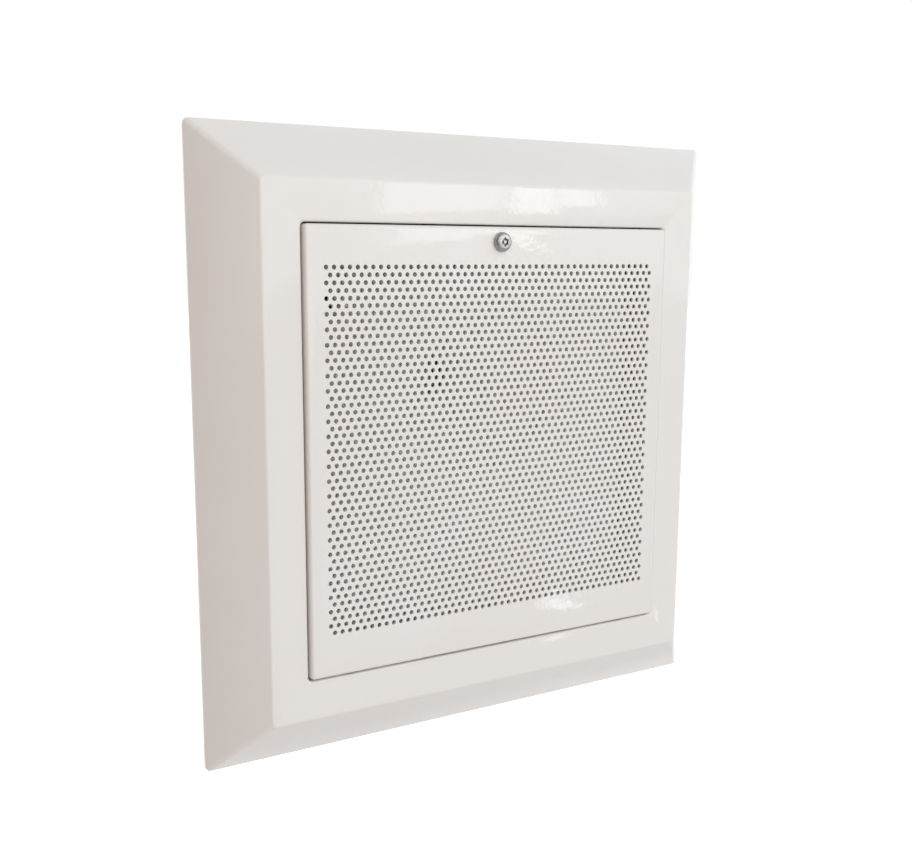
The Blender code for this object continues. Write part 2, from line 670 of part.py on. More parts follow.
def make_driver(shop, at, steel, plastic, ferrite, copper, film):
    h = driver_levels()
    wide = DRIVER_RADIUS + CLEARANCE * 5
    cap = [(wide + CAP_WALL, h["top_high"]), (wide + CAP_WALL, h["cap_low"]), (0, h["cap_low"])]
    cap = [(0, h["cap_low"] + CAP_WALL), (wide, h["cap_low"] + CAP_WALL), (wide, h["top_high"])] + cap
    shop.turned("driver_cap", cap, plastic, at, closed=False)
    pole = [(0, h["top_high"]), (POLE_RADIUS, h["top_high"]), (POLE_RADIUS, h["back_high"]),
            (DRIVER_RADIUS - 0.001, h["back_high"]), (DRIVER_RADIUS - 0.001, h["back_low"]),
            (0, h["back_low"])]
    shop.turned("pole_piece", pole, steel, at, closed=False)
    magnet = [(DRIVER_RADIUS, h["magnet_high"]), (DRIVER_RADIUS, h["magnet_low"]),
              (MAGNET_BORE, h["magnet_low"]), (MAGNET_BORE, h["magnet_high"])]
    shop.turned("magnet_ring", magnet, ferrite, at)
    coil_inner = POLE_RADIUS + COIL_GAP
    coil_outer = coil_inner + COIL_THICKNESS
    plate_bore = coil_outer + COIL_GAP
    plate = [(DRIVER_RADIUS, h["top_high"]), (DRIVER_RADIUS, h["top_low"]),
             (plate_bore, h["top_low"]), (plate_bore, h["top_high"])]
    shop.turned("top_plate", plate, steel, at)
    coil_high = h["skirt_low"] + DOME_TRAVEL
    coil = [(coil_outer, coil_high), (coil_outer, h["top_low"] + 0.0005),
            (coil_inner, h["top_low"] + 0.0005), (coil_inner, coil_high)]
    shop.turned("voice_coil", coil, copper, at)
    make_diaphragm(shop, at, film, coil_high + CLEARANCE)
    skirt = DRIVER_RADIUS - 0.008
    wide += CAP_WALL
    adapter = [(wide, h["plate_high"]), (wide, h["skirt_low"]), (skirt, h["skirt_low"]),
               (skirt, h["plate_low"]), (HORN_THROAT, h["plate_low"]), (HORN_THROAT, h["plate_high"])]
    adapter_piece = shop.turned("throat_adapter", adapter, plastic, at)
    shop.cut(adapter_piece, *screw_holes(horn_screw_places(), h["plate_high"], 0.02))


def make_diaphragm(shop, at, film, rest):
    """Domed diaphragm: a crown inside the coil's radius and a flat surround."""
    crown = POLE_RADIUS + COIL_GAP
    upper = []
    for step in range(5):
        radius = crown * step / 4
        upper.append((radius, rest + DOME_SHEET + DOME_RISE * (1 - (radius / crown) ** 2)))
    upper.append((DOME_RADIUS, rest + DOME_SHEET))
    lower = [(radius, height - DOME_SHEET) for radius, height in reversed(upper)]
    shop.turned("diaphragm", upper + lower, film, at, closed=False)


def horn_screw_places():
    return [(side * HORN_SCREW_CIRCLE * math.cos(math.pi / 4),
             HORN_UP + side * HORN_SCREW_CIRCLE * math.sin(math.pi / 4)) for side in (-1, 1)]


def make_speaker_bracket(shop, steel, flare):
    """Bent strip that holds the driver and the horn, with their screws."""
    h = driver_levels()
    half_width = SPEAKER_BRACKET_WIDTH / 2
    reach = SPEAKER_BRACKET_HALF
    piece = shop.part("speaker_bracket",
                      span((-reach, HORN_UP - half_width, h["bracket_low"]),
                           (reach, HORN_UP + half_width, h["bracket_high"])), steel)
    foot_high = FLOOR_H + BRACKET_SHEET
    for side in (-1, 1):
        leg = sorted((side * reach, side * (reach - BRACKET_SHEET)))
        foot = sorted((side * (reach - BRACKET_SHEET), side * (reach + FOOT_LENGTH)))
        low_v, high_v = HORN_UP - half_width, HORN_UP + half_width
        shop.add(piece,
                 span((leg[0], low_v, FLOOR_H), (leg[1], high_v, h["bracket_high"])),
                 span((foot[0], low_v, FLOOR_H), (foot[1], high_v, foot_high)))
    feet = [(side * (reach + FOOT_LENGTH / 2), HORN_UP) for side in (-1, 1)]
    throat = rod(HORN_THROAT + 0.0005, 0.01, (0, HORN_UP, h["bracket_low"]))
    holes = screw_holes(horn_screw_places(), h["bracket_low"]) + screw_holes(feet, foot_high)
    shop.cut(piece, throat, *holes)
    shop.cut(flare, *screw_holes(horn_screw_places(), h["flange_low"], 0.008))
    length = h["flange_high"] - h["plate_low"]
    for number, (x, v) in enumerate(horn_screw_places(), 1):
        shop.turned(f"horn_screw_{number}", pan_screw_profile(length), steel,
                    (x, v, h["flange_high"] + CLEARANCE), closed=False, steps=12)
    for number, (x, v) in enumerate(feet, 1):
        shop.turned(f"speaker_bracket_screw_{number}", pan_screw_profile(BRACKET_SHEET), steel,
                    (x, v, foot_high + CLEARANCE), closed=False, steps=12)


def make_battery(shop, case, brass, strap_steel, steel):
    low = -BOX_INNER + BATTERY_FLOOR_GAP
    high = low + BATTERY_HEIGHT
    back = FLOOR_H + BATTERY_BACK_GAP
    front = back + BATTERY_THICKNESS
    half = BATTERY_WIDTH / 2
    battery = shop.part("battery", span((-half, low, back), (half, high, front)), case)
    edge = battery.modifiers.new("edges", "BEVEL")
    edge.width = 0.0015
    edge.segments = 2
    for side, word in ((-1, "pos"), (1, "neg")):
        x = side * TERMINAL_ACROSS
        middle = (back + front) / 2
        shop.part("battery_terminal_" + word,
                  box((TERMINAL_SHEET, TERMINAL_HEIGHT, TERMINAL_WIDTH)), brass,
                  (x, high + CLEARANCE + TERMINAL_HEIGHT / 2, middle))
    middle_v = (low + high) / 2
    strap_low = middle_v - STRAP_WIDTH / 2
    strap_high = middle_v + STRAP_WIDTH / 2
    reach = half + CLEARANCE + STRAP_SHEET
    face = front + CLEARANCE + STRAP_SHEET
    strap = shop.part("battery_strap",
                      span((-reach, strap_low, front + CLEARANCE), (reach, strap_high, face)), strap_steel)
    for side in (-1, 1):
        leg = sorted((side * (half + CLEARANCE), side * reach))
        foot = sorted((side * (half + CLEARANCE), side * (reach + FOOT_LENGTH)))
        shop.add(strap,
                 span((leg[0], strap_low, FLOOR_H), (leg[1], strap_high, face)),
                 span((foot[0], strap_low, FLOOR_H), (foot[1], strap_high, FLOOR_H + STRAP_SHEET)))
    feet = [(side * (reach + FOOT_LENGTH / 2), middle_v) for side in (-1, 1)]
    shop.cut(strap, *screw_holes(feet, FLOOR_H))
    for number, (x, _) in enumerate(feet, 1):
        shop.turned(f"battery_strap_screw_{number}", pan_screw_profile(STRAP_SHEET), steel,
                    (x, middle_v, FLOOR_H + STRAP_SHEET + CLEARANCE), closed=False, steps=12)


def board_edges():
    """Right, left, top and bottom of the circuit board, and its front face."""
    right = BOX_INNER - BOARD_WALL_GAP
    top = BOX_INNER - BOARD_TOP_GAP
    return right, right - BOARD_WIDTH, top, top - BOARD_HEIGHT, FLOOR_H + BOARD_STANDOFF + BOARD_SHEET


def terminal_slots(bottom):
    """Where the terminal block's five entries lie, from the board's lower edge up."""
    return [bottom + 0.0145 + slot * 0.0078 for slot in range(5)]


def make_board(shop, laminate, nylon, black, green, silver, alloy):
    """Circuit board on snap-in posts, with the parts that stand on it."""
    right, left, top, bottom, face = board_edges()
    sheet = span((left, bottom, face - BOARD_SHEET), (right, top, face))
    board = shop.part("circuit_board", sheet, laminate)
    tip = face + CLEARANCE + 0.0015
    under = face - BOARD_SHEET - CLEARANCE
    profile = [(0, tip), (POST_TIP_RADIUS * 0.6, tip), (POST_TIP_RADIUS, tip - 0.001),
               (POST_TIP_RADIUS, under), (POST_RADIUS, under), (POST_RADIUS, FLOOR_H), (0, FLOOR_H)]
    posts = [(x, v) for x in (left + POST_INSET, right - POST_INSET)
             for v in (bottom + POST_INSET, top - POST_INSET)]
    for number, (x, v) in enumerate(posts, 1):
        shop.turned(f"board_post_{number}", profile, nylon, (x, v, 0), closed=False, steps=12)
    shop.cut(board, *[rod(POST_TIP_RADIUS + HOLE_GAP, 0.01, (x, v, face), sides=12) for x, v in posts])
    seat = face + CLEARANCE
    middle = (left + right) / 2
    shop.part("relay", box((0.019, 0.0155, 0.015)), black, (middle - 0.006, top - 0.022, seat + 0.0075))
    sink = shop.part("heat_sink",
                     span((right - 0.020, bottom + 0.045, seat),
                          (right - 0.006, bottom + 0.072, seat + 0.022)), alloy)
    channels = []
    for channel in range(3):
        x = right - 0.0165 + channel * 0.0042
        channels.append(span((x, bottom + 0.040, seat + 0.004), (x + 0.0024, bottom + 0.080, seat + 0.030)))
    shop.cut(sink, *channels)
    block = shop.part("terminal_block",
                      span((left + 0.003, bottom + 0.010, seat),
                           (left + 0.015, bottom + 0.050, seat + 0.011)), green)
    for v in terminal_slots(bottom):
        shop.cut(block, rod(0.0018, 0.006, (left + 0.010, v, seat + 0.011), sides=10),
                 box((0.008, 0.0044, 0.005), (left + 0.001, v, seat + 0.0045)))
    for index, (x, v, radius, height) in enumerate(((left + 0.011, bottom + 0.066, 0.0065, 0.020),
                                                    (left + 0.009, bottom + 0.082, 0.005, 0.014)), 1):
        profile = [(0, height), (radius - 0.0006, height), (radius, height - 0.0006), (radius, 0), (0, 0)]
        shop.turned(f"capacitor_{index}", profile, silver, (x, v, seat), closed=False, steps=18)


def make_tampers(shop, black, steel, nylon):
    """Cover tamper switch on its bracket, wall tamper switch, and their plungers."""
    low = SWITCH_TOP - SWITCH_HEIGHT
    half_w = SWITCH_WIDTH / 2
    half_t = SWITCH_THICKNESS / 2
    x, v = TAMPER_ACROSS, TAMPER_UP
    switch = shop.part("tamper_switch",
                       span((x - half_w, v - half_t, low), (x + half_w, v + half_t, SWITCH_TOP)), black)
    shop.cut(switch, rod(PLUNGER_RADIUS + HOLE_GAP, 2 * PLUNGER_BORE_DEPTH, (x, v, SWITCH_TOP), sides=16))
    upright_v = v + half_t + CLEARANCE
    bracket = shop.part("tamper_bracket",
                        span((x - half_w, upright_v, FLOOR_H),
                             (x + half_w, upright_v + TAMPER_BRACKET_SHEET, SWITCH_TOP - 0.002)), steel)
    shop.add(bracket, span((x - half_w, upright_v, FLOOR_H),
                           (x + half_w, upright_v + 0.014, FLOOR_H + TAMPER_BRACKET_SHEET)))
    tip = DOOR_BACK_H - CLEARANCE
    foot = SWITCH_TOP - PLUNGER_BORE_DEPTH + 0.001
    profile = [(0, tip), (0.0012, tip), (PLUNGER_RADIUS, tip - 0.0005), (PLUNGER_RADIUS, foot), (0, foot)]
    shop.turned("tamper_plunger", profile, nylon, (x, v, 0), closed=False, steps=16)

    v = WALL_TAMPER_UP
    half = WALL_TAMPER_BODY / 2
    body = shop.part("wall_tamper_switch",
                     span((x - half, v - half, FLOOR_H),
                          (x + half, v + half, FLOOR_H + WALL_TAMPER_RISE)), black)
    shop.cut(body, rod(PLUNGER_RADIUS + HOLE_GAP, 0.020, (x, v, FLOOR_H), sides=16))
    profile = [(0, 0.009), (PLUNGER_RADIUS, 0.009), (PLUNGER_RADIUS, 0.0005), (0.0012, 0), (0, 0)]
    shop.turned("wall_tamper_plunger", profile, nylon, (x, v, 0), closed=False, steps=16)


def make_grommet(shop, rubber):
    """Cable grommet in the box's upper wall, its axis upright."""
    outside = BOX_HALF + CLEARANCE
    inside = BOX_INNER - CLEARANCE
    profile = [(GROMMET_FLANGE - 0.001, outside + GROMMET_LIP), (GROMMET_FLANGE, outside),
               (GROMMET_GROOVE, outside), (GROMMET_GROOVE, inside), (GROMMET_FLANGE, inside),
               (GROMMET_BORE + 0.002, inside - GROMMET_LIP_IN), (GROMMET_BORE, inside - GROMMET_LIP_IN),
               (GROMMET_BORE, outside + GROMMET_LIP)]
    piece = shop.turned("cable_grommet", profile, rubber, (GROMMET_ACROSS, 0, GROMMET_OUT), steps=ROUND)
    piece.rotation_euler = (-math.pi / 2, 0, 0)


def make_leads(shop, red, black, grey):
    """Leads between the battery, the board, the driver and the cover tamper switch."""
    right, left, top, bottom, face = board_edges()
    terminal_h = FLOOR_H + BATTERY_BACK_GAP + BATTERY_THICKNESS / 2
    terminal_v = -BOX_INNER + BATTERY_FLOOR_GAP + BATTERY_HEIGHT + CLEARANCE + TERMINAL_HEIGHT + 0.0006
    entry_x = left - 0.0005
    entry_h = face + CLEARANCE + 0.0045
    slots = terminal_slots(bottom)
    shop.lead("lead_battery_black",
              [(TERMINAL_ACROSS, terminal_v, terminal_h), (TERMINAL_ACROSS, terminal_v + 0.004, terminal_h),
               (TERMINAL_ACROSS - 0.012, terminal_v + 0.010, terminal_h + 0.006),
               (left - 0.010, slots[0] - 0.004, entry_h), (entry_x - 0.002, slots[0], entry_h),
               (entry_x, slots[0], entry_h)], BATTERY_LEAD_RADIUS, black)
    shop.lead("lead_battery_red",
              [(-TERMINAL_ACROSS, terminal_v, terminal_h),
               (-TERMINAL_ACROSS, terminal_v + 0.004, terminal_h),
               (-TERMINAL_ACROSS + 0.020, terminal_v + 0.008, terminal_h + 0.003),
               (0, terminal_v + 0.007, terminal_h + 0.004), (left - 0.026, slots[1] - 0.010, entry_h),
               (entry_x - 0.006, slots[1], entry_h), (entry_x, slots[1], entry_h)],
              BATTERY_LEAD_RADIUS, red)
    cap_side = DRIVER_RADIUS + CLEARANCE * 6 + CAP_WALL + THIN_LEAD_RADIUS
    shop.lead("lead_speaker",
              [(cap_side, HORN_UP - 0.004, 0.024), (cap_side + 0.004, HORN_UP - 0.012, 0.026),
               (SPEAKER_BRACKET_HALF - 0.006, HORN_UP - 0.026, 0.034),
               (SPEAKER_BRACKET_HALF + 0.004, HORN_UP - 0.026, 0.036),
               (left - 0.008, slots[3] - 0.006, entry_h + 0.008), (left - 0.003, slots[3], entry_h),
               (entry_x, slots[3], entry_h)],
              THIN_LEAD_RADIUS, grey)
    bottom_h = SWITCH_TOP - SWITCH_HEIGHT - CLEARANCE
    shop.lead("lead_tamper",
              [(TAMPER_ACROSS + 0.006, TAMPER_UP, bottom_h),
               (TAMPER_ACROSS + 0.006, TAMPER_UP, bottom_h - 0.006),
               (TAMPER_ACROSS + 0.016, TAMPER_UP + 0.004, bottom_h - 0.022),
               (-0.030, TAMPER_UP + 0.020, 0.026), (0.020, TAMPER_UP + 0.020, 0.026),
               (left - 0.012, top - 0.045, entry_h + 0.010),
               (left - 0.007, slots[4] + 0.020, entry_h + 0.006),
               (entry_x - 0.004, slots[4], entry_h), (entry_x, slots[4], entry_h)],
              THIN_LEAD_RADIUS, grey)


def smooth_round_parts(parts):
    for piece in parts.objects:
        if piece.type == "MESH":
            piece.data.shade_smooth()
            piece.data.set_sharp_from_angle(angle=math.radians(35))


def main():
    clear_scene()
    shop = Workshop()

    paint = finish("white_paint", (0.80, 0.78, 0.76), 0.35)
    galvanised = finish("galvanised_steel", (0.55, 0.56, 0.57), 0.42, 0.9)
    stainless = finish("stainless_steel", (0.60, 0.59, 0.57), 0.28, 1.0)
    inner_sheet = finish("inner_sheet", (0.42, 0.42, 0.42), 0.5, 0.6)
    foam = finish("foam_rubber", (0.05, 0.05, 0.05), 0.9)
    black = finish("black_plastic", BLACK_PLASTIC, 0.5)
    horn_plastic = finish("horn_plastic", (0.62, 0.61, 0.58), 0.5)
    ferrite = finish("ferrite", (0.06, 0.06, 0.065), 0.7)
    copper = finish("copper", (0.72, 0.36, 0.18), 0.35, 1.0)
    film = finish("diaphragm_film", (0.55, 0.35, 0.12), 0.4)
    battery_case = finish("battery_case", (0.10, 0.11, 0.13), 0.45)
    brass = finish("brass", (0.75, 0.58, 0.28), 0.35, 1.0)
    laminate = finish("board_laminate", (0.04, 0.20, 0.09), 0.45)
    nylon = finish("nylon", (0.80, 0.80, 0.76), 0.5)
    green = finish("green_plastic", (0.05, 0.30, 0.12), 0.5)
    silver = finish("can_aluminium", (0.70, 0.71, 0.72), 0.3, 1.0)
    alloy = finish("black_anodised", (0.05, 0.05, 0.055), 0.45, 0.6)
    red = finish("red_plastic", (0.45, 0.03, 0.02), 0.45)
    grey = finish("grey_insulation", (0.30, 0.30, 0.31), 0.5)

    hinge = bpy.data.objects.new("door_hinge_axis", None)
    shop.parts.objects.link(hinge)
    hinge.parent = shop.axes
    hinge.location = (0, HINGE_V, HINGE_H)

    speaker_at = (0, HORN_UP, 0)
    make_box(shop, galvanised)
    make_frame(shop, paint)
    make_gasket(shop, foam)
    make_door(shop, paint, galvanised, hinge)
    make_lock(shop, stainless, hinge)
    make_inner_cover(shop, inner_sheet, stainless)
    flare = make_horn(shop, horn_plastic, speaker_at)
    make_driver(shop, speaker_at, galvanised, black, ferrite, copper, film)
    make_speaker_bracket(shop, galvanised, flare)
    make_battery(shop, battery_case, brass, galvanised, stainless)
    make_board(shop, laminate, nylon, black, green, silver, alloy)
    make_tampers(shop, black, galvanised, nylon)
    make_grommet(shop, foam)
    make_leads(shop, red, black, grey)
    smooth_round_parts(shop.parts)


main()
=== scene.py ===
"""Looks for a flush wall siren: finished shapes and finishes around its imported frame."""

import json
import math

import bmesh
import bpy
from bpy.props import FloatProperty, FloatVectorProperty, IntProperty, PointerProperty
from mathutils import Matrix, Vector


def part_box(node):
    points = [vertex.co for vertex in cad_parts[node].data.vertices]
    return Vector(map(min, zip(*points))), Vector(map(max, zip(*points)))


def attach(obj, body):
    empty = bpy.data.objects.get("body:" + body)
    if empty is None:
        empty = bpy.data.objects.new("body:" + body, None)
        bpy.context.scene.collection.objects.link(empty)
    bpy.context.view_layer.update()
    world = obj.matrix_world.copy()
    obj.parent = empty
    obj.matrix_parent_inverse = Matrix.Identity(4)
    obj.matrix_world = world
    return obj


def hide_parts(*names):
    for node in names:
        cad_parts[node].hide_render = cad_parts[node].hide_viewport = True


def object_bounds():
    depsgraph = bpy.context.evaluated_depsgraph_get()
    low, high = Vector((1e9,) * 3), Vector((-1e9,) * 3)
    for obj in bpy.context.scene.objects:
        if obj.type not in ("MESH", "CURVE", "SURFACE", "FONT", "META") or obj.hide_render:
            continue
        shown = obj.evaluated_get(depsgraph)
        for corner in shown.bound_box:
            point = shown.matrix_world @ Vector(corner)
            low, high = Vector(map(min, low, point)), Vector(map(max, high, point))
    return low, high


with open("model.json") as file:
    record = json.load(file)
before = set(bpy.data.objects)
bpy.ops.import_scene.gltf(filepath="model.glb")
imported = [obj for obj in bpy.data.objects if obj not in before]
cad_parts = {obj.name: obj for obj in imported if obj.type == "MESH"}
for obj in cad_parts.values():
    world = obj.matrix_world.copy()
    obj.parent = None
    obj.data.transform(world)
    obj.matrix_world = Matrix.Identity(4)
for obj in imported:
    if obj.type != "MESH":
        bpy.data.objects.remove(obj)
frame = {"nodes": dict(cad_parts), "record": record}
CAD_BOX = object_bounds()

bl_info = {
    "name": "Flush siren looks",
    "version": (1, 0, 0),
    "blender": (4, 5, 0),
    "location": "3D View > Sidebar > Siren",
    "description": "Models the frame, perforated door, screws and finishes of a flush wall siren",
    "category": "Object",
}

SLOT_OF_NODE = {part["node"]: part["material_slot"] for part in frame["record"]["subparts"]}
FRAME_LOW, FRAME_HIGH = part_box("front_frame")
DOOR_LOW, DOOR_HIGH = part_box("grille_door")
SCREW_LOW, SCREW_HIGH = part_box("cover_screw")
COVER_LOW, COVER_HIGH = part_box("inner_cover")
HORN_LOW, HORN_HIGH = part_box("horn_flare")
PIN_LEFT, PIN_RIGHT = (sum(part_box("hinge_pin_" + side), Vector()) / 2 for side in ("left", "right"))
SMALL_SCREW_NODES = [f"{kind}_screw_{number}" for kind in ("inner_cover", "frame")
                     for number in (1, 2, 3, 4)]

HUGE = 1.0
WELD = 0.00001             # vertices nearer than this are one
LEDGE_SETBACK = 0.0018     # the ledge's face in front of the wall surface
SCREW_HOLE = 0.0017        # radius of the holes for the small screws
EYE_RADIUS = 0.00115       # radius of the hinge eyes
EAR_HALF = 0.001           # half the thickness of a hinge ear
EAR_REACH = 0.012          # how far an ear runs back from its pin
FIELD_SIDE = 0.0065        # solid margin at the sides of the punched field
FIELD_FOOT = 0.0095        # extra solid margin under the field
FIELD_TOP = 0.0895         # upper end of the punched field
COVER_SCREW_HOLE = 0.0028
HINGE_SLOT_HALF = 0.0014
BUTTON_HEIGHT = 0.00275
BUTTON_FLAT = 0.0031       # radius where the button's dome starts
SHANK = 0.0025
GROOVE = 0.002             # radius of the shank in the retainer's groove
SCREW_TRAVEL = 0.0076
DOOR_METAL = 0.0012
THREAD_PITCH = 0.0008
PAN_HEIGHT = 0.0018
SMALL_SHANK = 0.0014
WINDOW_LAP = 0.0042        # the cover's window inside the horn's outer edge
NOTCH_HALF = 0.0056
PEEP_RADIUS = 0.0035
FACING_OUT = (math.pi / 2, 0.0, 0.0)   # turns a flat primitive to face the room
FACING_BACK = (math.pi / 2, 0.0, 0.0)  # turns a lamp to shine on the siren's front
VIEW = (0.5086, 0.8413, -0.1832)       # the way the camera looks
CAMERA_AT = (-0.3344, -0.5835, 0.0889)
WINDOW_Y = -1.6                        # how far in front of the wall the mirrored window stands


# ---- Sizes and colours that a user would change ----


class FrontFrameSizes(bpy.types.PropertyGroup):
    rim: FloatProperty(
        name="Rim", description="Upright rim against the wall", default=0.0015, unit="LENGTH")
    slope: FloatProperty(
        name="Slope width", description="Width of the sloping border", default=0.025, unit="LENGTH")
    border: FloatProperty(
        name="Flat border", description="Flat border round the door", default=0.0189, unit="LENGTH")
    sheet: FloatProperty(
        name="Sheet", description="Thickness of the frame's metal", default=0.0015, unit="LENGTH")
    corner: FloatProperty(
        name="Corner radius", description="Rounding of the frame's four corners", default=0.0025,
        unit="LENGTH")
    lip: FloatProperty(
        name="Lip radius", description="Rounding where the face turns in at the door",
        default=0.0014, unit="LENGTH")
    crease: FloatProperty(
        name="Crease radius", description="Rounding between the slope and the flat border",
        default=0.0007, unit="LENGTH")
    ledge: FloatProperty(
        name="Ledge width", description="Ledge behind the door", default=0.0181, unit="LENGTH")


class GrilleDoorSizes(bpy.types.PropertyGroup):
    sheet: FloatProperty(
        name="Sheet", description="Thickness of the door's metal", default=0.0012, unit="LENGTH")
    edge: FloatProperty(
        name="Edge radius", description="Rounding of the folded edges", default=0.0015,
        unit="LENGTH")
    corner: FloatProperty(
        name="Corner radius", description="Rounding of the door's four corners", default=0.0018,
        unit="LENGTH")
    pitch: FloatProperty(
        name="Hole pitch", description="Distance between the holes", default=0.004, unit="LENGTH")
    hole: FloatProperty(
        name="Hole radius", description="Radius of each punched hole", default=0.00115,
        unit="LENGTH")
    columns: IntProperty(name="Holes in a row", description="Holes along each row", default=48)
    row_pairs: IntProperty(
        name="Pairs of rows", description="Pairs of staggered rows, one under the other", default=25)
    top_row: FloatProperty(
        name="Top row", description="Height of the top row of holes", default=0.0864,
        unit="LENGTH")
    relief_width: FloatProperty(
        name="Finger relief", description="Width of the relief in the lower edge", default=0.088,
        unit="LENGTH")
    relief_depth: FloatProperty(
        name="Relief depth", description="Depth of the relief in the lower edge", default=0.0005,
        unit="LENGTH")
    relief_back: FloatProperty(
        name="Relief reach", description="How far back the relief runs from the door's face",
        default=0.006, unit="LENGTH")


class SirenFinishes(bpy.types.PropertyGroup):
    paint: FloatVectorProperty(
        name="Paint", description="Colour of the powder coat", subtype="COLOR", size=3,
        min=0.0, max=1.0, default=(0.80, 0.778, 0.757))
    paint_shade: FloatVectorProperty(
        name="Paint shade", description="Slightly yellowed patches of the powder coat",
        subtype="COLOR", size=3, min=0.0, max=1.0, default=(0.787, 0.760, 0.733))
    paint_gloss: FloatProperty(
        name="Paint gloss", description="Strength of the coat's clear reflection", default=0.85,
        min=0.0, max=1.0, subtype="FACTOR")


class StageSettings(bpy.types.PropertyGroup):
    lens: FloatProperty(name="Lens", description="Focal length in millimetres", default=46.48)
    shift_x: FloatProperty(name="Shift X", description="Sideways lens shift", default=0.0394)
    shift_y: FloatProperty(name="Shift Y", description="Upward lens shift", default=0.0563)
    room_light: FloatProperty(
        name="Room light", description="Brightness of the even light all round", default=0.42)
    front_light: FloatProperty(
        name="Front light", description="Extra brightness of the light from the front", default=1.16)
    side_light: FloatVectorProperty(
        name="Side light", description="How much each colour falls off from the right to the left",
        subtype="COLOR", size=3, min=0.0, max=1.0, default=(0.32, 0.42, 0.47))
    window_light: FloatProperty(
        name="Window light", description="Power of the window mirrored in the paint", default=0.8)
    floor_drop: FloatProperty(
        name="Floor drop", description="How far the floor lies under the siren", default=0.9,
        unit="LENGTH")


# ---- Working with one mesh at a time ----


def alone(piece):
    """Object mode, with one object active and the only one selected."""
    if bpy.context.mode != "OBJECT":
        bpy.ops.object.mode_set(mode="OBJECT")
    bpy.ops.object.select_all(action="DESELECT")
    piece.select_set(True)
    bpy.context.view_layer.objects.active = piece


def added(name):
    """The primitive just added, named, with its place taken into its mesh."""
    piece = bpy.context.object
    piece.name = piece.data.name = name
    bpy.ops.object.transform_apply(location=True, rotation=True, scale=True)
    return piece


def clear_choice():
    if bpy.context.mode != "OBJECT":
        bpy.ops.object.mode_set(mode="OBJECT")
    bpy.ops.object.select_all(action="DESELECT")


def square_sheet(name, size, y):
    clear_choice()
    bpy.ops.mesh.primitive_plane_add(size=size, location=(0, y, 0), rotation=FACING_OUT)
    return added(name)


def block(name, low, high):
    clear_choice()
    middle = (Vector(low) + Vector(high)) / 2
    size = Vector(high) - Vector(low)
    bpy.ops.mesh.primitive_cube_add(size=1, location=middle, scale=size)
    return added(name)


def round_bar(name, radius, centre, length, sides=32, turn=FACING_OUT):
    clear_choice()
    bpy.ops.mesh.primitive_cylinder_add(
        vertices=sides, radius=radius, depth=length, location=centre, rotation=turn)
    return added(name)


def edit(piece):
    alone(piece)
    bpy.ops.object.mode_set(mode="EDIT")


def pick(kind, test):
    """Select the faces, edges or vertices of the mesh being edited that pass a test."""
    bpy.ops.mesh.select_mode(type=kind)
    bpy.ops.mesh.select_all(action="DESELECT")
    mesh = bpy.context.edit_object.data
    shape = bmesh.from_edit_mesh(mesh)
    count = 0
    for item in {"FACE": shape.faces, "EDGE": shape.edges, "VERT": shape.verts}[kind]:
        if test(item):
            item.select_set(True)
            count += 1
    shape.select_flush_mode()
    bmesh.update_edit_mesh(mesh, loop_triangles=False, destructive=False)
    if not count:
        raise RuntimeError("nothing to work on in " + mesh.name)
    return count


def level(y):
    """A test for edges that lie all at one depth."""
    return lambda edge: all(abs(vert.co.y - y) < WELD for vert in edge.verts)


def sharp_ring(y, limit=0.15):
    """A test for the creased edges that lie at one depth."""
    return lambda edge: (level(y)(edge) and not edge.is_boundary
                         and edge.calc_face_angle(0.0) > limit)


def corner_lines(near, far):
    """A test for the edges that run along the four corners, within a depth range."""
    def test(edge):
        first, last = (vert.co for vert in edge.verts)
        if abs(first.y - last.y) < WELD:
            return False
        if min(first.y, last.y) < near - WELD or max(first.y, last.y) > far + WELD:
            return False
        return all(abs(abs(co.x) - abs(co.z)) < WELD for co in (first, last))
    return test


def bevel(kind_test, radius, segments):
    pick("EDGE", kind_test)
    bpy.ops.mesh.bevel(offset=radius, offset_type="OFFSET", segments=segments, affect="EDGES",
                       clamp_overlap=False)


def modify(piece, kind, **values):
    """Add one modifier and apply it."""
    alone(piece)
    step = piece.modifiers.new(kind.title(), kind)
    for name, value in values.items():
        setattr(step, name, value)
    bpy.ops.object.modifier_apply(modifier=step.name)


def merged(pieces, name):
    """Several objects made one."""
    alone(pieces[0])
    for piece in pieces[1:]:
        piece.select_set(True)
    if len(pieces) > 1:
        bpy.ops.object.join()
    pieces[0].name = name
    return pieces[0]


def carve(piece, cutters, operation="DIFFERENCE", overlapping=False):
    """Cut shapes out of a piece, or weld them on, and throw the shapes away."""
    tool = merged(cutters, "tool")
    modify(piece, "BOOLEAN", object=tool, operation=operation, solver="EXACT",
           use_self=overlapping)
    mesh = tool.data
    bpy.data.objects.remove(tool, do_unlink=True)
    bpy.data.meshes.remove(mesh)


def face_out():
    """In edit mode: merge what touches and turn every face outwards."""
    bpy.ops.mesh.select_all(action="SELECT")
    bpy.ops.mesh.remove_doubles(threshold=WELD)
    bpy.ops.mesh.normals_make_consistent(inside=False)


def close_up(piece, angle=30):
    """Merge, turn the faces out and shade smooth up to an angle."""
    edit(piece)
    face_out()
    bpy.ops.object.mode_set(mode="OBJECT")
    bpy.ops.object.shade_smooth_by_angle(angle=math.radians(angle))


def fit(piece, node, body, *more_nodes):
    """Hand a finished piece to its body in place of its plain solids."""
    slot = SLOT_OF_NODE[node]
    piece.data.materials.clear()
    piece.data.materials.append(finish_for(slot))
    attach(piece, body)
    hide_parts(node, *more_nodes)


# ---- Finishes ----


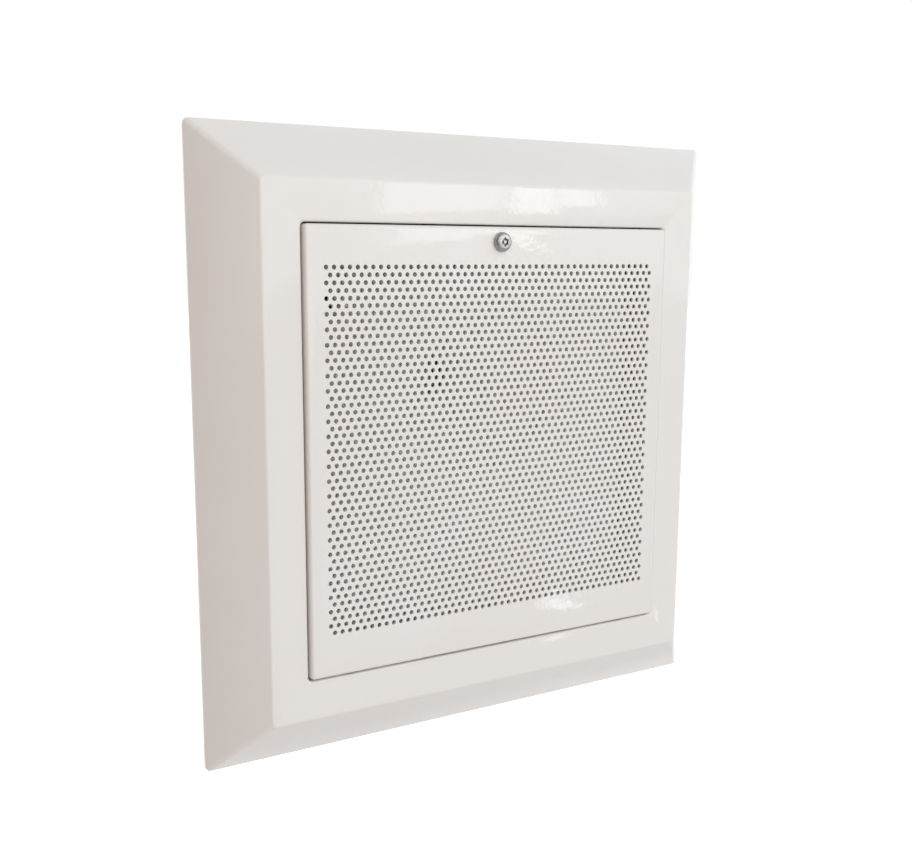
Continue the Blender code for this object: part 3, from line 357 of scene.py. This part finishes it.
class Finish:
    """One procedural material, built up a layer at a time on object coordinates."""

    def __init__(self, name, metallic=0.0):
        self.material = bpy.data.materials.new(name)
        self.material.use_nodes = True
        self.nodes = self.material.node_tree.nodes
        self.links = self.material.node_tree.links
        self.shader = self.nodes["Principled BSDF"]
        self.shader.inputs["Metallic"].default_value = metallic
        self.place = self.nodes.new("ShaderNodeTexCoord").outputs["Object"]

    def stretched(self, scale):
        mapping = self.nodes.new("ShaderNodeMapping")
        mapping.inputs["Scale"].default_value = scale
        self.links.new(self.place, mapping.inputs["Vector"])
        return mapping.outputs["Vector"]

    def noise(self, scale, detail=3.0, stretch=None, roughness=0.5):
        node = self.nodes.new("ShaderNodeTexNoise")
        node.inputs["Scale"].default_value = scale
        node.inputs["Detail"].default_value = detail
        node.inputs["Roughness"].default_value = roughness
        self.links.new(self.stretched(stretch) if stretch else self.place, node.inputs["Vector"])
        return node.outputs["Fac"]

    def cells(self, scale, feature="F1", output="Color"):
        node = self.nodes.new("ShaderNodeTexVoronoi")
        node.feature = feature
        node.inputs["Scale"].default_value = scale
        self.links.new(self.place, node.inputs["Vector"])
        return node.outputs[output]

    def ranged(self, value, low, high, start=0.3, end=0.7):
        node = self.nodes.new("ShaderNodeMapRange")
        for name, number in (("From Min", start), ("From Max", end), ("To Min", low), ("To Max", high)):
            node.inputs[name].default_value = number
        self.links.new(value, node.inputs["Value"])
        return node.outputs["Result"]

    def between(self, factor, first, second):
        node = self.nodes.new("ShaderNodeMix")
        node.data_type = "RGBA"
        for name, colour in (("A", first), ("B", second)):
            socket = [each for each in node.inputs if each.name == name and each.type == "RGBA"][0]
            if isinstance(colour, bpy.types.NodeSocket):
                self.links.new(colour, socket)
            else:
                socket.default_value = (*colour, 1.0)
        self.links.new(factor, node.inputs["Factor"])
        return [each for each in node.outputs if each.type == "RGBA"][0]

    def colour(self, output):
        self.links.new(output, self.shader.inputs["Base Color"])
        return self

    def roughness(self, output):
        self.links.new(output, self.shader.inputs["Roughness"])
        return self

    def bump(self, height, strength, distance):
        """Lay one more layer of relief over what is there."""
        node = self.nodes.new("ShaderNodeBump")
        node.inputs["Strength"].default_value = strength
        node.inputs["Distance"].default_value = distance
        self.links.new(height, node.inputs["Height"])
        for link in list(self.links):
            if link.to_socket == self.shader.inputs["Normal"]:
                self.links.new(link.from_socket, node.inputs["Normal"])
        self.links.new(node.outputs["Normal"], self.shader.inputs["Normal"])
        if self.shader.inputs["Coat Weight"].default_value:
            self.links.new(node.outputs["Normal"], self.shader.inputs["Coat Normal"])
        return self

    def coat(self, weight, roughness):
        self.shader.inputs["Coat Weight"].default_value = weight
        self.shader.inputs["Coat Roughness"].default_value = roughness
        return self


def powder_coat(name):
    """Glossy powder coat with a faint orange peel and slightly yellowed patches."""
    colours = bpy.context.scene.siren_finishes
    made = Finish(name).coat(colours.paint_gloss, 0.025)
    patches = made.ranged(made.noise(14, 4), 0.0, 1.0, 0.35, 0.65)
    made.colour(made.between(patches, colours.paint, colours.paint_shade))
    made.roughness(made.ranged(made.noise(90, 3), 0.30, 0.42))
    made.bump(made.noise(320, 2), 0.07, 0.0005)
    return made.bump(made.noise(45, 1), 0.03, 0.002).material


def zinc(name, light, dark, spangle=95, metallic=1.0):
    """Galvanised sheet: dull metal in flat crystal patches with a fine grain."""
    made = Finish(name, metallic=metallic)
    flakes = made.noise(spangle, 0)
    crystal = made.cells(spangle)
    grey = made.nodes.new("ShaderNodeRGBToBW")
    made.links.new(crystal, grey.inputs["Color"])
    made.colour(made.between(made.ranged(grey.outputs["Val"], 0.0, 1.0, 0.1, 0.9), light, dark))
    made.roughness(made.ranged(grey.outputs["Val"], 0.34, 0.55, 0.1, 0.9))
    made.bump(flakes, 0.05, 0.0006)
    return made.bump(made.noise(1500, 2), 0.06, 0.0002).material


def brushed(name, light, dark, stretch=(60, 60, 2400), rough=(0.20, 0.36)):
    """Machined or brushed metal with fine lines one way."""
    made = Finish(name, metallic=1.0)
    lines = made.noise(1.0, 4, stretch)
    made.colour(made.between(made.ranged(lines, 0.0, 1.0), light, dark))
    made.roughness(made.ranged(made.noise(160, 3), *rough))
    return made.bump(lines, 0.10, 0.0002).material


def moulded(name, light, dark, rough=(0.38, 0.52), grain=900, relief=0.08):
    """Moulded plastic with a fine spark-eroded grain."""
    made = Finish(name)
    made.colour(made.between(made.ranged(made.noise(45, 4), 0.0, 1.0), light, dark))
    made.roughness(made.ranged(made.noise(120, 3), *rough))
    return made.bump(made.noise(grain, 3), relief, 0.0003).material


def foam(name):
    """Closed-cell foam rubber with open pores on its skin."""
    made = Finish(name)
    made.colour(made.between(made.ranged(made.noise(220, 4), 0.0, 1.0),
                             (0.34, 0.34, 0.345), (0.42, 0.42, 0.425)))
    made.roughness(made.ranged(made.noise(160, 2), 0.85, 0.97))
    return made.bump(made.cells(900, output="Distance"), 0.6, 0.0005).material


def laminate(name):
    """Circuit board: solder mask over a faint glass weave."""
    made = Finish(name).coat(0.5, 0.12)
    weave = made.noise(1.0, 2, (1400, 300, 1400))
    made.colour(made.between(made.ranged(weave, 0.0, 1.0), (0.012, 0.125, 0.045), (0.02, 0.17, 0.065)))
    made.roughness(made.ranged(made.noise(200, 2), 0.30, 0.42))
    return made.bump(weave, 0.10, 0.0002).material


def sintered(name):
    """Dark ferrite with a gritty ground face."""
    made = Finish(name)
    made.colour(made.between(made.ranged(made.noise(420, 5), 0.0, 1.0),
                             (0.035, 0.035, 0.038), (0.085, 0.083, 0.082)))
    made.roughness(made.ranged(made.noise(240, 3), 0.55, 0.78))
    return made.bump(made.noise(1200, 4), 0.3, 0.0003).material


FINISH_MAKERS = {
    "white_paint": powder_coat,
    "galvanised_steel": lambda name: zinc(name, (0.58, 0.59, 0.60), (0.50, 0.51, 0.52), 230),
    "inner_sheet": lambda name: zinc(name, (0.86, 0.86, 0.86), (0.83, 0.83, 0.835), 230, 0.0),
    "stainless_steel": lambda name: brushed(name, (0.46, 0.455, 0.445), (0.34, 0.335, 0.33)),
    "brass": lambda name: brushed(name, (0.80, 0.70, 0.46), (0.66, 0.54, 0.30)),
    "copper": lambda name: brushed(name, (0.80, 0.44, 0.26), (0.60, 0.28, 0.15), (60, 5200, 60)),
    "can_aluminium": lambda name: brushed(name, (0.78, 0.79, 0.80), (0.64, 0.65, 0.66)),
    "black_anodised": lambda name: brushed(name, (0.05, 0.05, 0.055), (0.03, 0.03, 0.034),
                                           rough=(0.36, 0.5)),
    "foam_rubber": foam,
    "board_laminate": laminate,
    "ferrite": sintered,
    "black_plastic": lambda name: moulded(name, (0.024, 0.024, 0.026), (0.042, 0.042, 0.044)),
    "horn_plastic": lambda name: moulded(name, (0.88, 0.875, 0.86), (0.83, 0.82, 0.80)),
    "diaphragm_film": lambda name: moulded(name, (0.80, 0.77, 0.70), (0.72, 0.69, 0.62), (0.2, 0.3)),
    "battery_case": lambda name: moulded(name, (0.085, 0.09, 0.105), (0.12, 0.125, 0.14)),
    "nylon": lambda name: moulded(name, (0.82, 0.81, 0.77), (0.74, 0.73, 0.69), (0.3, 0.42)),
    "green_plastic": lambda name: moulded(name, (0.03, 0.27, 0.10), (0.05, 0.34, 0.14)),
    "red_plastic": lambda name: moulded(name, (0.50, 0.03, 0.018), (0.38, 0.022, 0.015), (0.24, 0.36)),
    "grey_insulation": lambda name: moulded(name, (0.34, 0.34, 0.35), (0.26, 0.26, 0.27), (0.3, 0.45)),
    "black_insulation": lambda name: moulded(name, (0.024, 0.024, 0.024), (0.04, 0.04, 0.04), (0.3, 0.45)),
}
MADE_FINISHES = {}


def finish_for(slot):
    """The one material of a slot, made when it is first asked for."""
    if slot not in MADE_FINISHES:
        MADE_FINISHES[slot] = FINISH_MAKERS[slot](slot)
    return MADE_FINISHES[slot]


# ---- Operators, one for each piece ----


class SIREN_OT_front_frame(bpy.types.Operator):
    """Model the painted front frame: rim, slope, flat border, rolled lip and ledge"""
    bl_idname = "siren.front_frame"
    bl_label = "Front frame"

    def execute(self, context):
        sizes = context.scene.siren_frame_sizes
        outer = FRAME_HIGH.x - FRAME_LOW.x
        wall_y = FRAME_HIGH.y
        face_y = FRAME_LOW.y
        ledge_y = wall_y - LEDGE_SETBACK
        start_y = wall_y + sizes.rim / 3
        face_side = outer - 2 * sizes.slope
        piece = square_sheet("painted_front_frame", outer, start_y)
        edit(piece)
        bpy.ops.mesh.select_all(action="SELECT")
        self.forward(start_y - wall_y + sizes.rim)
        rim_y = wall_y - sizes.rim
        self.forward(rim_y - face_y)
        share = face_side / outer
        bpy.ops.transform.resize(value=(share, 1, share), center_override=(0, face_y, 0))
        bpy.ops.mesh.inset(thickness=sizes.border, use_boundary=True)
        opening = face_side / 2 - sizes.border
        self.forward(face_y - ledge_y)
        bpy.ops.mesh.inset(thickness=sizes.ledge, use_boundary=True)
        bpy.ops.mesh.delete(type="FACE")
        pick("FACE", lambda face: all(abs(vert.co.y - start_y) < WELD for vert in face.verts))
        bpy.ops.mesh.delete(type="FACE")
        face_out()
        bevel(corner_lines(face_y, start_y), sizes.corner, 6)
        bevel(lambda edge: level(face_y)(edge) and sharp_ring(face_y)(edge)
              and max(max(abs(vert.co.x), abs(vert.co.z)) for vert in edge.verts) > opening + 0.006,
              sizes.crease, 3)
        bevel(lambda edge: sharp_ring(face_y, 0.8)(edge), sizes.lip, 6)
        bevel(sharp_ring(ledge_y, 0.8), 0.0012, 3)
        bevel(lambda edge: level(rim_y)(edge) and sharp_ring(rim_y)(edge), 0.0005, 2)
        bpy.ops.object.mode_set(mode="OBJECT")
        modify(piece, "SOLIDIFY", thickness=sizes.sheet, offset=-1.0, use_even_offset=True,
               use_quality_normals=True)
        trim = block("rear_trim", (-HUGE, wall_y, -HUGE), (HUGE, wall_y + HUGE, HUGE))
        carve(piece, [trim])
        carve(piece, self.lugs(), "UNION", overlapping=True)
        holes = [round_bar("hole", SCREW_HOLE, self.at(name, ledge_y), 0.01, 20)
                 for name in SMALL_SCREW_NODES]
        holes += [round_bar("eye", EYE_RADIUS, pin, 0.012, 24, (0, math.pi / 2, 0))
                  for pin in (PIN_LEFT, PIN_RIGHT)]
        carve(piece, holes)
        close_up(piece)
        fit(piece, "front_frame", "housing")
        return {"FINISHED"}

    @staticmethod
    def forward(distance):
        bpy.ops.mesh.extrude_region_move(TRANSFORM_OT_translate={"value": (0, -distance, 0)})

    @staticmethod
    def at(name, y):
        middle = sum(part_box(name), Vector()) / 2
        return (middle.x, y, middle.z)

    @staticmethod
    def lugs():
        """Two ears that carry the hinge pins."""
        made = []
        for pin in (PIN_LEFT, PIN_RIGHT):
            back = pin.y + EAR_REACH
            ear = block("ear", (pin.x - EAR_HALF, pin.y - 0.0018, pin.z - 0.0014),
                        (pin.x + EAR_HALF, back, pin.z + 0.0026))
            stem = block("stem", (pin.x - EAR_HALF, back - 0.0045, pin.z - 0.0056),
                         (pin.x + EAR_HALF, back, pin.z + 0.001))
            made += [ear, stem]
        return made


class SIREN_OT_grille_door(bpy.types.Operator):
    """Model the door: a folded pan whose face is punched with staggered holes"""
    bl_idname = "siren.grille_door"
    bl_label = "Perforated door"

    def execute(self, context):
        sizes = context.scene.siren_door_sizes
        front, back = DOOR_LOW.y, DOOR_LOW.y + sizes.sheet
        field_half = DOOR_HIGH.x - FIELD_SIDE
        pan = self.pan(sizes, front, back, field_half)
        field = self.field(sizes, front)
        piece = merged([pan, field], "perforated_door")
        edit(piece)
        face_out()
        for y in (front, back):
            pick("EDGE", lambda edge: edge.is_boundary and level(y)(edge))
            bpy.ops.mesh.fill(use_beauty=True)
        bpy.ops.object.mode_set(mode="OBJECT")
        close_up(piece, 32)
        fit(piece, "grille_door", "door")
        return {"FINISHED"}

    @staticmethod
    def pan(sizes, front, back, field_half):
        """The folded pan, open where the punched field goes."""
        side = DOOR_HIGH.x - DOOR_LOW.x
        piece = square_sheet("door_pan", side, front)
        edit(piece)
        bpy.ops.mesh.select_all(action="SELECT")
        bpy.ops.mesh.select_mode(type="EDGE")
        bpy.ops.mesh.extrude_edges_move(
            TRANSFORM_OT_translate={"value": (0, DOOR_HIGH.y - front, 0)})
        face_out()
        bevel(corner_lines(front, DOOR_HIGH.y), sizes.corner, 6)
        bevel(sharp_ring(front, 0.8), sizes.edge, 6)
        pick("VERT", lambda vert: vert.co.z < 0)
        bpy.ops.transform.translate(value=(0, 0, DOOR_LOW.z + side / 2))
        bpy.ops.object.mode_set(mode="OBJECT")
        modify(piece, "SOLIDIFY", thickness=sizes.sheet, offset=-1.0, use_even_offset=True,
               use_quality_normals=True)
        low_z = DOOR_LOW.z
        field_low = -field_half + FIELD_FOOT
        half_relief = sizes.relief_width / 2
        cutters = [
            block("field_opening", (-field_half, front - 0.01, field_low),
                  (field_half, back + 0.001, FIELD_TOP)),
            block("finger_relief", (-half_relief, front - 0.01, low_z - 0.01),
                  (half_relief, front + sizes.relief_back, low_z + sizes.relief_depth)),
            round_bar("screw_hole", COVER_SCREW_HOLE, (0, front, (SCREW_LOW.z + SCREW_HIGH.z) / 2), 0.006),
        ]
        for pin in (PIN_LEFT, PIN_RIGHT):
            cutters.append(block("hinge_slot", (pin.x - HINGE_SLOT_HALF, back, low_z - 0.01),
                                 (pin.x + HINGE_SLOT_HALF, DOOR_HIGH.y + 0.01, pin.z - 0.001)))
        carve(piece, cutters)
        edit(piece)
        pick("FACE", lambda face: abs(face.normal.y) < 0.1 and all(
            abs(vert.co.x) < field_half + WELD
            and field_low - WELD < vert.co.z < FIELD_TOP + WELD
            for vert in face.verts))
        bpy.ops.mesh.delete(type="ONLY_FACE")
        bpy.ops.object.mode_set(mode="OBJECT")
        return piece

    @staticmethod
    def field(sizes, front):
        """The punched field: one hexagonal cell with its hole, in rows that interlock."""
        clear_choice()
        first = (-(sizes.columns - 0.5) * sizes.pitch / 2, front, sizes.top_row)
        bpy.ops.mesh.primitive_circle_add(vertices=6, radius=sizes.pitch / math.sqrt(3),
                                          location=first, rotation=FACING_OUT)
        piece = added("punched_field")
        edit(piece)
        bpy.ops.mesh.primitive_circle_add(vertices=12, radius=sizes.hole, location=first,
                                          rotation=FACING_OUT)
        bpy.ops.mesh.select_all(action="SELECT")
        bpy.ops.mesh.bridge_edge_loops()
        row = sizes.pitch * math.sqrt(3) / 2
        bpy.ops.mesh.select_all(action="SELECT")
        bpy.ops.mesh.duplicate_move(TRANSFORM_OT_translate={"value": (sizes.pitch / 2, 0, -row)})
        bpy.ops.object.mode_set(mode="OBJECT")
        for count, offset in ((sizes.columns, (sizes.pitch, 0, 0)), (sizes.row_pairs, (0, 0, -2 * row))):
            modify(piece, "ARRAY", count=count, use_relative_offset=False,
                   use_constant_offset=True, constant_offset_displace=offset)
        edit(piece)
        bpy.ops.mesh.select_all(action="SELECT")
        bpy.ops.mesh.remove_doubles(threshold=WELD)
        shape = bmesh.from_edit_mesh(piece.data)
        shape.faces.ensure_lookup_table()
        if shape.faces[0].normal.y > 0:
            bpy.ops.mesh.flip_normals()
        bpy.ops.object.mode_set(mode="OBJECT")
        modify(piece, "SOLIDIFY", thickness=sizes.sheet, offset=-1.0)
        edit(piece)
        wall = 0.8 * sizes.sheet * sizes.pitch / math.sqrt(3)
        pick("FACE", lambda face: abs(face.normal.y) < 0.1 and face.calc_area() > wall)
        bpy.ops.mesh.delete(type="ONLY_FACE")
        bpy.ops.object.mode_set(mode="OBJECT")
        return piece


class SIREN_OT_cover_screw(bpy.types.Operator):
    """Model the button-head cover screw with its six-lobed recess and pin"""
    bl_idname = "siren.cover_screw"
    bl_label = "Cover screw"

    def execute(self, context):
        middle = (SCREW_LOW + SCREW_HIGH) / 2
        top_y, tail_y = SCREW_LOW.y, SCREW_HIGH.y
        head_radius = (SCREW_HIGH.x - SCREW_LOW.x) / 2
        seat_y = top_y + BUTTON_HEIGHT
        steps = [(seat_y, head_radius - 0.0002), (seat_y - 0.0003, head_radius)]
        for turn in (1.32, 1.15, 0.95, 0.75, 0.55, 0.35, 0.18):
            steps.append((seat_y - (seat_y - top_y) * math.cos(turn) ** 0.9,
                          BUTTON_FLAT + (head_radius - BUTTON_FLAT) * math.sin(turn)))
        steps.append((top_y, 0.0030))
        piece = turned("button_screw", (middle.x, middle.z), steps, 48)
        bore = [round_bar("bore", 0.00175, (middle.x, top_y, middle.z), 0.0036, 24)]
        for lobe in range(6):
            turn = lobe * math.pi / 3
            bore.append(round_bar(
                "lobe", 0.00052,
                (middle.x + 0.0017 * math.sin(turn), top_y, middle.z + 0.0017 * math.cos(turn)),
                0.0036, 12))
        carve(piece, bore, overlapping=True)
        carve(piece, [round_bar("pin", 0.0008, (middle.x, top_y + 0.0011, middle.z), 0.0021, 20)],
              "UNION")
        shank = [(seat_y + 0.0002, SHANK)]
        groove_y = seat_y + DOOR_METAL + SCREW_TRAVEL + 0.0003
        shank += [(groove_y, SHANK), (groove_y, GROOVE), (groove_y + 0.0016, GROOVE),
                  (groove_y + 0.0016, SHANK)]
        y = groove_y + 0.0020
        while y + THREAD_PITCH < tail_y - THREAD_PITCH:
            shank += [(y, SHANK), (y + 0.0001, SHANK), (y + 0.0004, 0.00212),
                      (y + 0.0005, 0.00212), (y + THREAD_PITCH, SHANK)]
            y += THREAD_PITCH
        shank += [(tail_y - 0.0006, 0.0024), (tail_y, 0.0018)]
        stem = turned("stem", (middle.x, middle.z), [(seat_y - 0.0004, SHANK)] + shank, 32)
        carve(piece, [stem], "UNION")
        close_up(piece, 35)
        fit(piece, "cover_screw", "cover_screw")
        return {"FINISHED"}


def turned(name, centre, steps, sides):
    """A turned solid along Y: a disc that is drawn out ring by ring."""
    x, z = centre
    clear_choice()
    first_y, first_radius = steps[0]
    bpy.ops.mesh.primitive_circle_add(vertices=sides, radius=first_radius, fill_type="NGON",
                                      location=(x, first_y, z), rotation=FACING_OUT)
    piece = added(name)
    edit(piece)
    bpy.ops.mesh.select_all(action="SELECT")
    now_y, now_radius = first_y, first_radius
    for y, radius in steps[1:]:
        bpy.ops.mesh.extrude_region_move(TRANSFORM_OT_translate={"value": (0, y - now_y, 0)})
        if abs(radius - now_radius) > 1e-9:
            share = radius / now_radius
            bpy.ops.transform.resize(value=(share, 1, share), center_override=(x, y, z))
        now_y, now_radius = y, radius
    face_out()
    bpy.ops.object.mode_set(mode="OBJECT")
    return piece


class SIREN_OT_small_screws(bpy.types.Operator):
    """Model one pan-head screw with a cross recess and set a copy at each fixing"""
    bl_idname = "siren.small_screws"
    bl_label = "Small screws"

    def execute(self, context):
        for kind in ("inner_cover", "frame"):
            names = [name for name in SMALL_SCREW_NODES if name.startswith(kind)]
            low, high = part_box(names[0])
            pattern = self.pan_head(low, high)
            for name in names:
                spot_low, spot_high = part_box(name)
                copy = pattern.copy()
                copy.data = pattern.data.copy()
                context.collection.objects.link(copy)
                copy.name = copy.data.name = "cross_" + name
                alone(copy)
                shift = (spot_low + spot_high) / 2 - (low + high) / 2
                bpy.ops.transform.translate(value=shift)
                bpy.ops.object.transform_apply(location=True, rotation=True, scale=True)
                fit(copy, name, "housing")
            mesh = pattern.data
            bpy.data.objects.remove(pattern, do_unlink=True)
            bpy.data.meshes.remove(mesh)
        return {"FINISHED"}

    @staticmethod
    def pan_head(low, high):
        middle = (low + high) / 2
        radius = (high.x - low.x) / 2
        top_y, under_y = low.y, low.y + PAN_HEIGHT
        steps = [(under_y, radius - 0.0001), (under_y - 0.0001, radius), (under_y - 0.0007, radius),
                 (under_y - 0.0012, radius * 0.93), (under_y - 0.0015, radius * 0.82),
                 (under_y - 0.0017, radius * 0.68), (top_y, radius * 0.5)]
        head = turned("pan_head", (middle.x, middle.z), steps, 28)
        arms = []
        for size in ((0.0030, 0.00062), (0.00062, 0.0030)):
            arms.append(block("recess", (middle.x - size[0] / 2, top_y - 0.001, middle.z - size[1] / 2),
                              (middle.x + size[0] / 2, top_y + 0.0011, middle.z + size[1] / 2)))
        carve(head, arms, overlapping=True)
        shank = turned("shank", (middle.x, middle.z),
                       [(under_y - 0.0002, SMALL_SHANK), (high.y - 0.0006, SMALL_SHANK),
                        (high.y, 0.0008)], 20)
        carve(head, [shank], "UNION")
        close_up(head, 35)
        return head


class SIREN_OT_inner_cover(bpy.types.Operator):
    """Model the pressed inner cover with its horn window"""
    bl_idname = "siren.inner_cover"
    bl_label = "Inner cover"

    def execute(self, context):
        side = COVER_HIGH.x - COVER_LOW.x
        front, rear = COVER_LOW.y, COVER_HIGH.y
        piece = square_sheet("pressed_inner_cover", side, front)
        edit(piece)
        bpy.ops.mesh.select_all(action="SELECT")
        bpy.ops.mesh.select_mode(type="EDGE")
        bpy.ops.mesh.extrude_edges_move(TRANSFORM_OT_translate={"value": (0, rear - front, 0)})
        face_out()
        bevel(corner_lines(front, rear), 0.002, 4)
        bevel(sharp_ring(front, 0.8), 0.0012, 3)
        bpy.ops.object.mode_set(mode="OBJECT")
        modify(piece, "SOLIDIFY", thickness=0.001, offset=-1.0, use_even_offset=True,
               use_quality_normals=True)
        horn = (HORN_LOW + HORN_HIGH) / 2
        window = (HORN_HIGH.x - HORN_LOW.x) / 2 - WINDOW_LAP
        cutters = [round_bar("window", window, (horn.x, front, horn.z), 0.02, 96)]
        pillar_low, pillar_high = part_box("lock_pillar")
        cutters.append(block("notch", (-NOTCH_HALF, front - 0.01, pillar_low.z - 0.0013),
                             (NOTCH_HALF, rear + 0.01, HUGE / 4)))
        switch = sum(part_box("tamper_plunger"), Vector()) / 2
        cutters.append(round_bar("peep", PEEP_RADIUS, (switch.x, front, switch.z), 0.01, 24))
        for name in SMALL_SCREW_NODES[:4]:
            middle = sum(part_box(name), Vector()) / 2
            cutters.append(round_bar("hole", SCREW_HOLE, (middle.x, front, middle.z), 0.01, 20))
        carve(piece, cutters)
        close_up(piece)
        fit(piece, "inner_cover", "housing")
        return {"FINISHED"}


class SIREN_OT_dress_frame_parts(bpy.types.Operator):
    """Give every solid that keeps its shape the finish of its slot"""
    bl_idname = "siren.dress_frame_parts"
    bl_label = "Finish the plain parts"

    def execute(self, context):
        for name, part in frame["nodes"].items():
            material = finish_for(SLOT_OF_NODE[name])
            for slot in part.material_slots:
                slot.material = material
        return {"FINISHED"}


class SIREN_OT_stage(bpy.types.Operator):
    """Set the pale floor, the soft studio light and the camera"""
    bl_idname = "siren.stage"
    bl_label = "Stage"

    def execute(self, context):
        stage = context.scene.siren_stage
        self.camera(stage)
        self.floor(stage)
        self.room(stage)
        self.window(stage)
        context.scene.view_settings.view_transform = "Standard"
        return {"FINISHED"}

    @staticmethod
    def camera(stage):
        clear_choice()
        turn = Vector(VIEW).to_track_quat("-Z", "Y").to_euler()
        bpy.ops.object.camera_add(location=CAMERA_AT, rotation=turn)
        camera = bpy.context.object
        camera.data.lens = stage.lens
        camera.data.shift_x, camera.data.shift_y = stage.shift_x, stage.shift_y
        camera.data.clip_start = 0.02
        bpy.context.scene.camera = camera

    @staticmethod
    def floor(stage):
        clear_choice()
        bpy.ops.mesh.primitive_plane_add(size=60, location=(0, 0, CAD_BOX[0].z - stage.floor_drop))
        floor = added("studio_floor")
        paper = Finish("studio_paper")
        split = paper.nodes.new("ShaderNodeSeparateXYZ")
        paper.links.new(paper.place, split.inputs["Vector"])
        left = paper.ranged(split.outputs["X"], 1.0, 0.0, -1.2, -0.1)
        behind = paper.ranged(split.outputs["Y"], 0.0, 1.0, 0.2, 1.0)
        grain = paper.between(paper.noise(3, 2), (0.80, 0.79, 0.79), (0.82, 0.81, 0.81))
        warm = paper.between(left, grain, (0.52, 0.44, 0.40))
        paper.colour(paper.between(behind, warm, (0.94, 0.94, 0.94)))
        paper.roughness(paper.ranged(paper.noise(40, 2), 0.85, 0.95))
        glow = paper.between(behind, (0.0, 0.0, 0.0), (1.0, 1.0, 1.0))
        paper.links.new(glow, paper.shader.inputs["Emission Color"])
        paper.shader.inputs["Emission Strength"].default_value = 0.45
        floor.data.materials.append(paper.material)

    @staticmethod
    def room(stage):
        """Even light, strongest from the front, warmer from the left and white behind."""
        world = bpy.data.worlds.new("studio_room")
        bpy.context.scene.world = world
        world.use_nodes = True
        nodes, links = world.node_tree.nodes, world.node_tree.links
        place = nodes.new("ShaderNodeTexCoord").outputs["Generated"]
        split = nodes.new("ShaderNodeSeparateXYZ")
        links.new(place, split.inputs["Vector"])

        def step(kind, *values, output="Vector"):
            node = nodes.new("ShaderNodeVectorMath")
            node.operation = kind
            for socket, value in zip(node.inputs, values):
                if isinstance(value, bpy.types.NodeSocket):
                    links.new(value, socket)
                else:
                    socket.default_value = value
            return node.outputs[output]

        ahead = step("ABSOLUTE", split.outputs["Y"])
        even = step("MULTIPLY_ADD", ahead, (stage.front_light,) * 3, (stage.room_light,) * 3)
        sideways = step("MULTIPLY_ADD", split.outputs["X"], tuple(stage.side_light), even)
        seen = step("DOT_PRODUCT", place, VIEW, output="Value")
        cap = nodes.new("ShaderNodeMapRange")
        cap.interpolation_type = "SMOOTHSTEP"
        cap.inputs["From Min"].default_value = 0.62
        cap.inputs["From Max"].default_value = 0.82
        links.new(seen, cap.inputs["Value"])
        mix = nodes.new("ShaderNodeMix")
        mix.data_type = "RGBA"
        colours = [each for each in mix.inputs if each.type == "RGBA"]
        links.new(step("MAXIMUM", sideways, (0.04,) * 3), colours[0])
        colours[1].default_value = (1.03, 1.03, 1.03, 1)
        links.new(cap.outputs["Result"], mix.inputs["Factor"])
        output = [each for each in mix.outputs if each.type == "RGBA"][0]
        links.new(output, nodes["Background"].inputs["Color"])
        nodes["Background"].inputs["Strength"].default_value = 1.0

    @staticmethod
    def window(stage):
        """A window of three panes, mirrored in the frame's upper border, and a lower glint."""
        for name, low, high, share in (("left_pane", (0.77, 0.165), (1.05, 0.42), 0.62),
                                       ("middle_pane", (1.07, 0.12), (1.17, 0.42), 0.46),
                                       ("right_pane", (1.18, 0.165), (1.30, 0.42), 0.36),
                                       ("low_glint", (1.17, -0.69), (1.24, -0.63), 0.07)):
            clear_choice()
            spot = ((low[0] + high[0]) / 2, WINDOW_Y, (low[1] + high[1]) / 2)
            bpy.ops.object.light_add(type="AREA", location=spot, rotation=FACING_BACK)
            lamp = bpy.context.object
            lamp.name = name
            lamp.data.shape = "RECTANGLE"
            lamp.data.size, lamp.data.size_y = high[0] - low[0], high[1] - low[1]
            lamp.data.energy = stage.window_light * share
            lamp.data.color = (0.93, 1.0, 1.0)


OPERATORS = (SIREN_OT_stage, SIREN_OT_dress_frame_parts, SIREN_OT_front_frame,
             SIREN_OT_grille_door, SIREN_OT_cover_screw, SIREN_OT_small_screws,
             SIREN_OT_inner_cover)


class SIREN_PT_looks(bpy.types.Panel):
    """Sidebar panel with the siren's sizes, colours and steps"""
    bl_idname = "SIREN_PT_looks"
    bl_label = "Flush siren"
    bl_space_type = "VIEW_3D"
    bl_region_type = "UI"
    bl_category = "Siren"

    def draw(self, context):
        layout = self.layout
        for group in GROUPS:
            box = layout.box()
            settings = getattr(context.scene, group)
            for name in settings.bl_rna.properties.keys():
                if name not in ("rna_type", "name"):
                    box.prop(settings, name)
        for step in OPERATORS:
            layout.operator(step.bl_idname)


GROUPS = {
    "siren_frame_sizes": FrontFrameSizes,
    "siren_door_sizes": GrilleDoorSizes,
    "siren_finishes": SirenFinishes,
    "siren_stage": StageSettings,
}


def register():
    for group, kind in GROUPS.items():
        bpy.utils.register_class(kind)
        setattr(bpy.types.Scene, group, PointerProperty(type=kind))
    for step in OPERATORS:
        bpy.utils.register_class(step)
    bpy.utils.register_class(SIREN_PT_looks)


def unregister():
    bpy.utils.unregister_class(SIREN_PT_looks)
    for step in reversed(OPERATORS):
        bpy.utils.unregister_class(step)
    for group, kind in GROUPS.items():
        delattr(bpy.types.Scene, group)
        bpy.utils.unregister_class(kind)


def main():
    register()
    for step in OPERATORS:
        family, name = step.bl_idname.split(".")
        getattr(getattr(bpy.ops, family), name)()


if __name__ == "__main__":
    main()
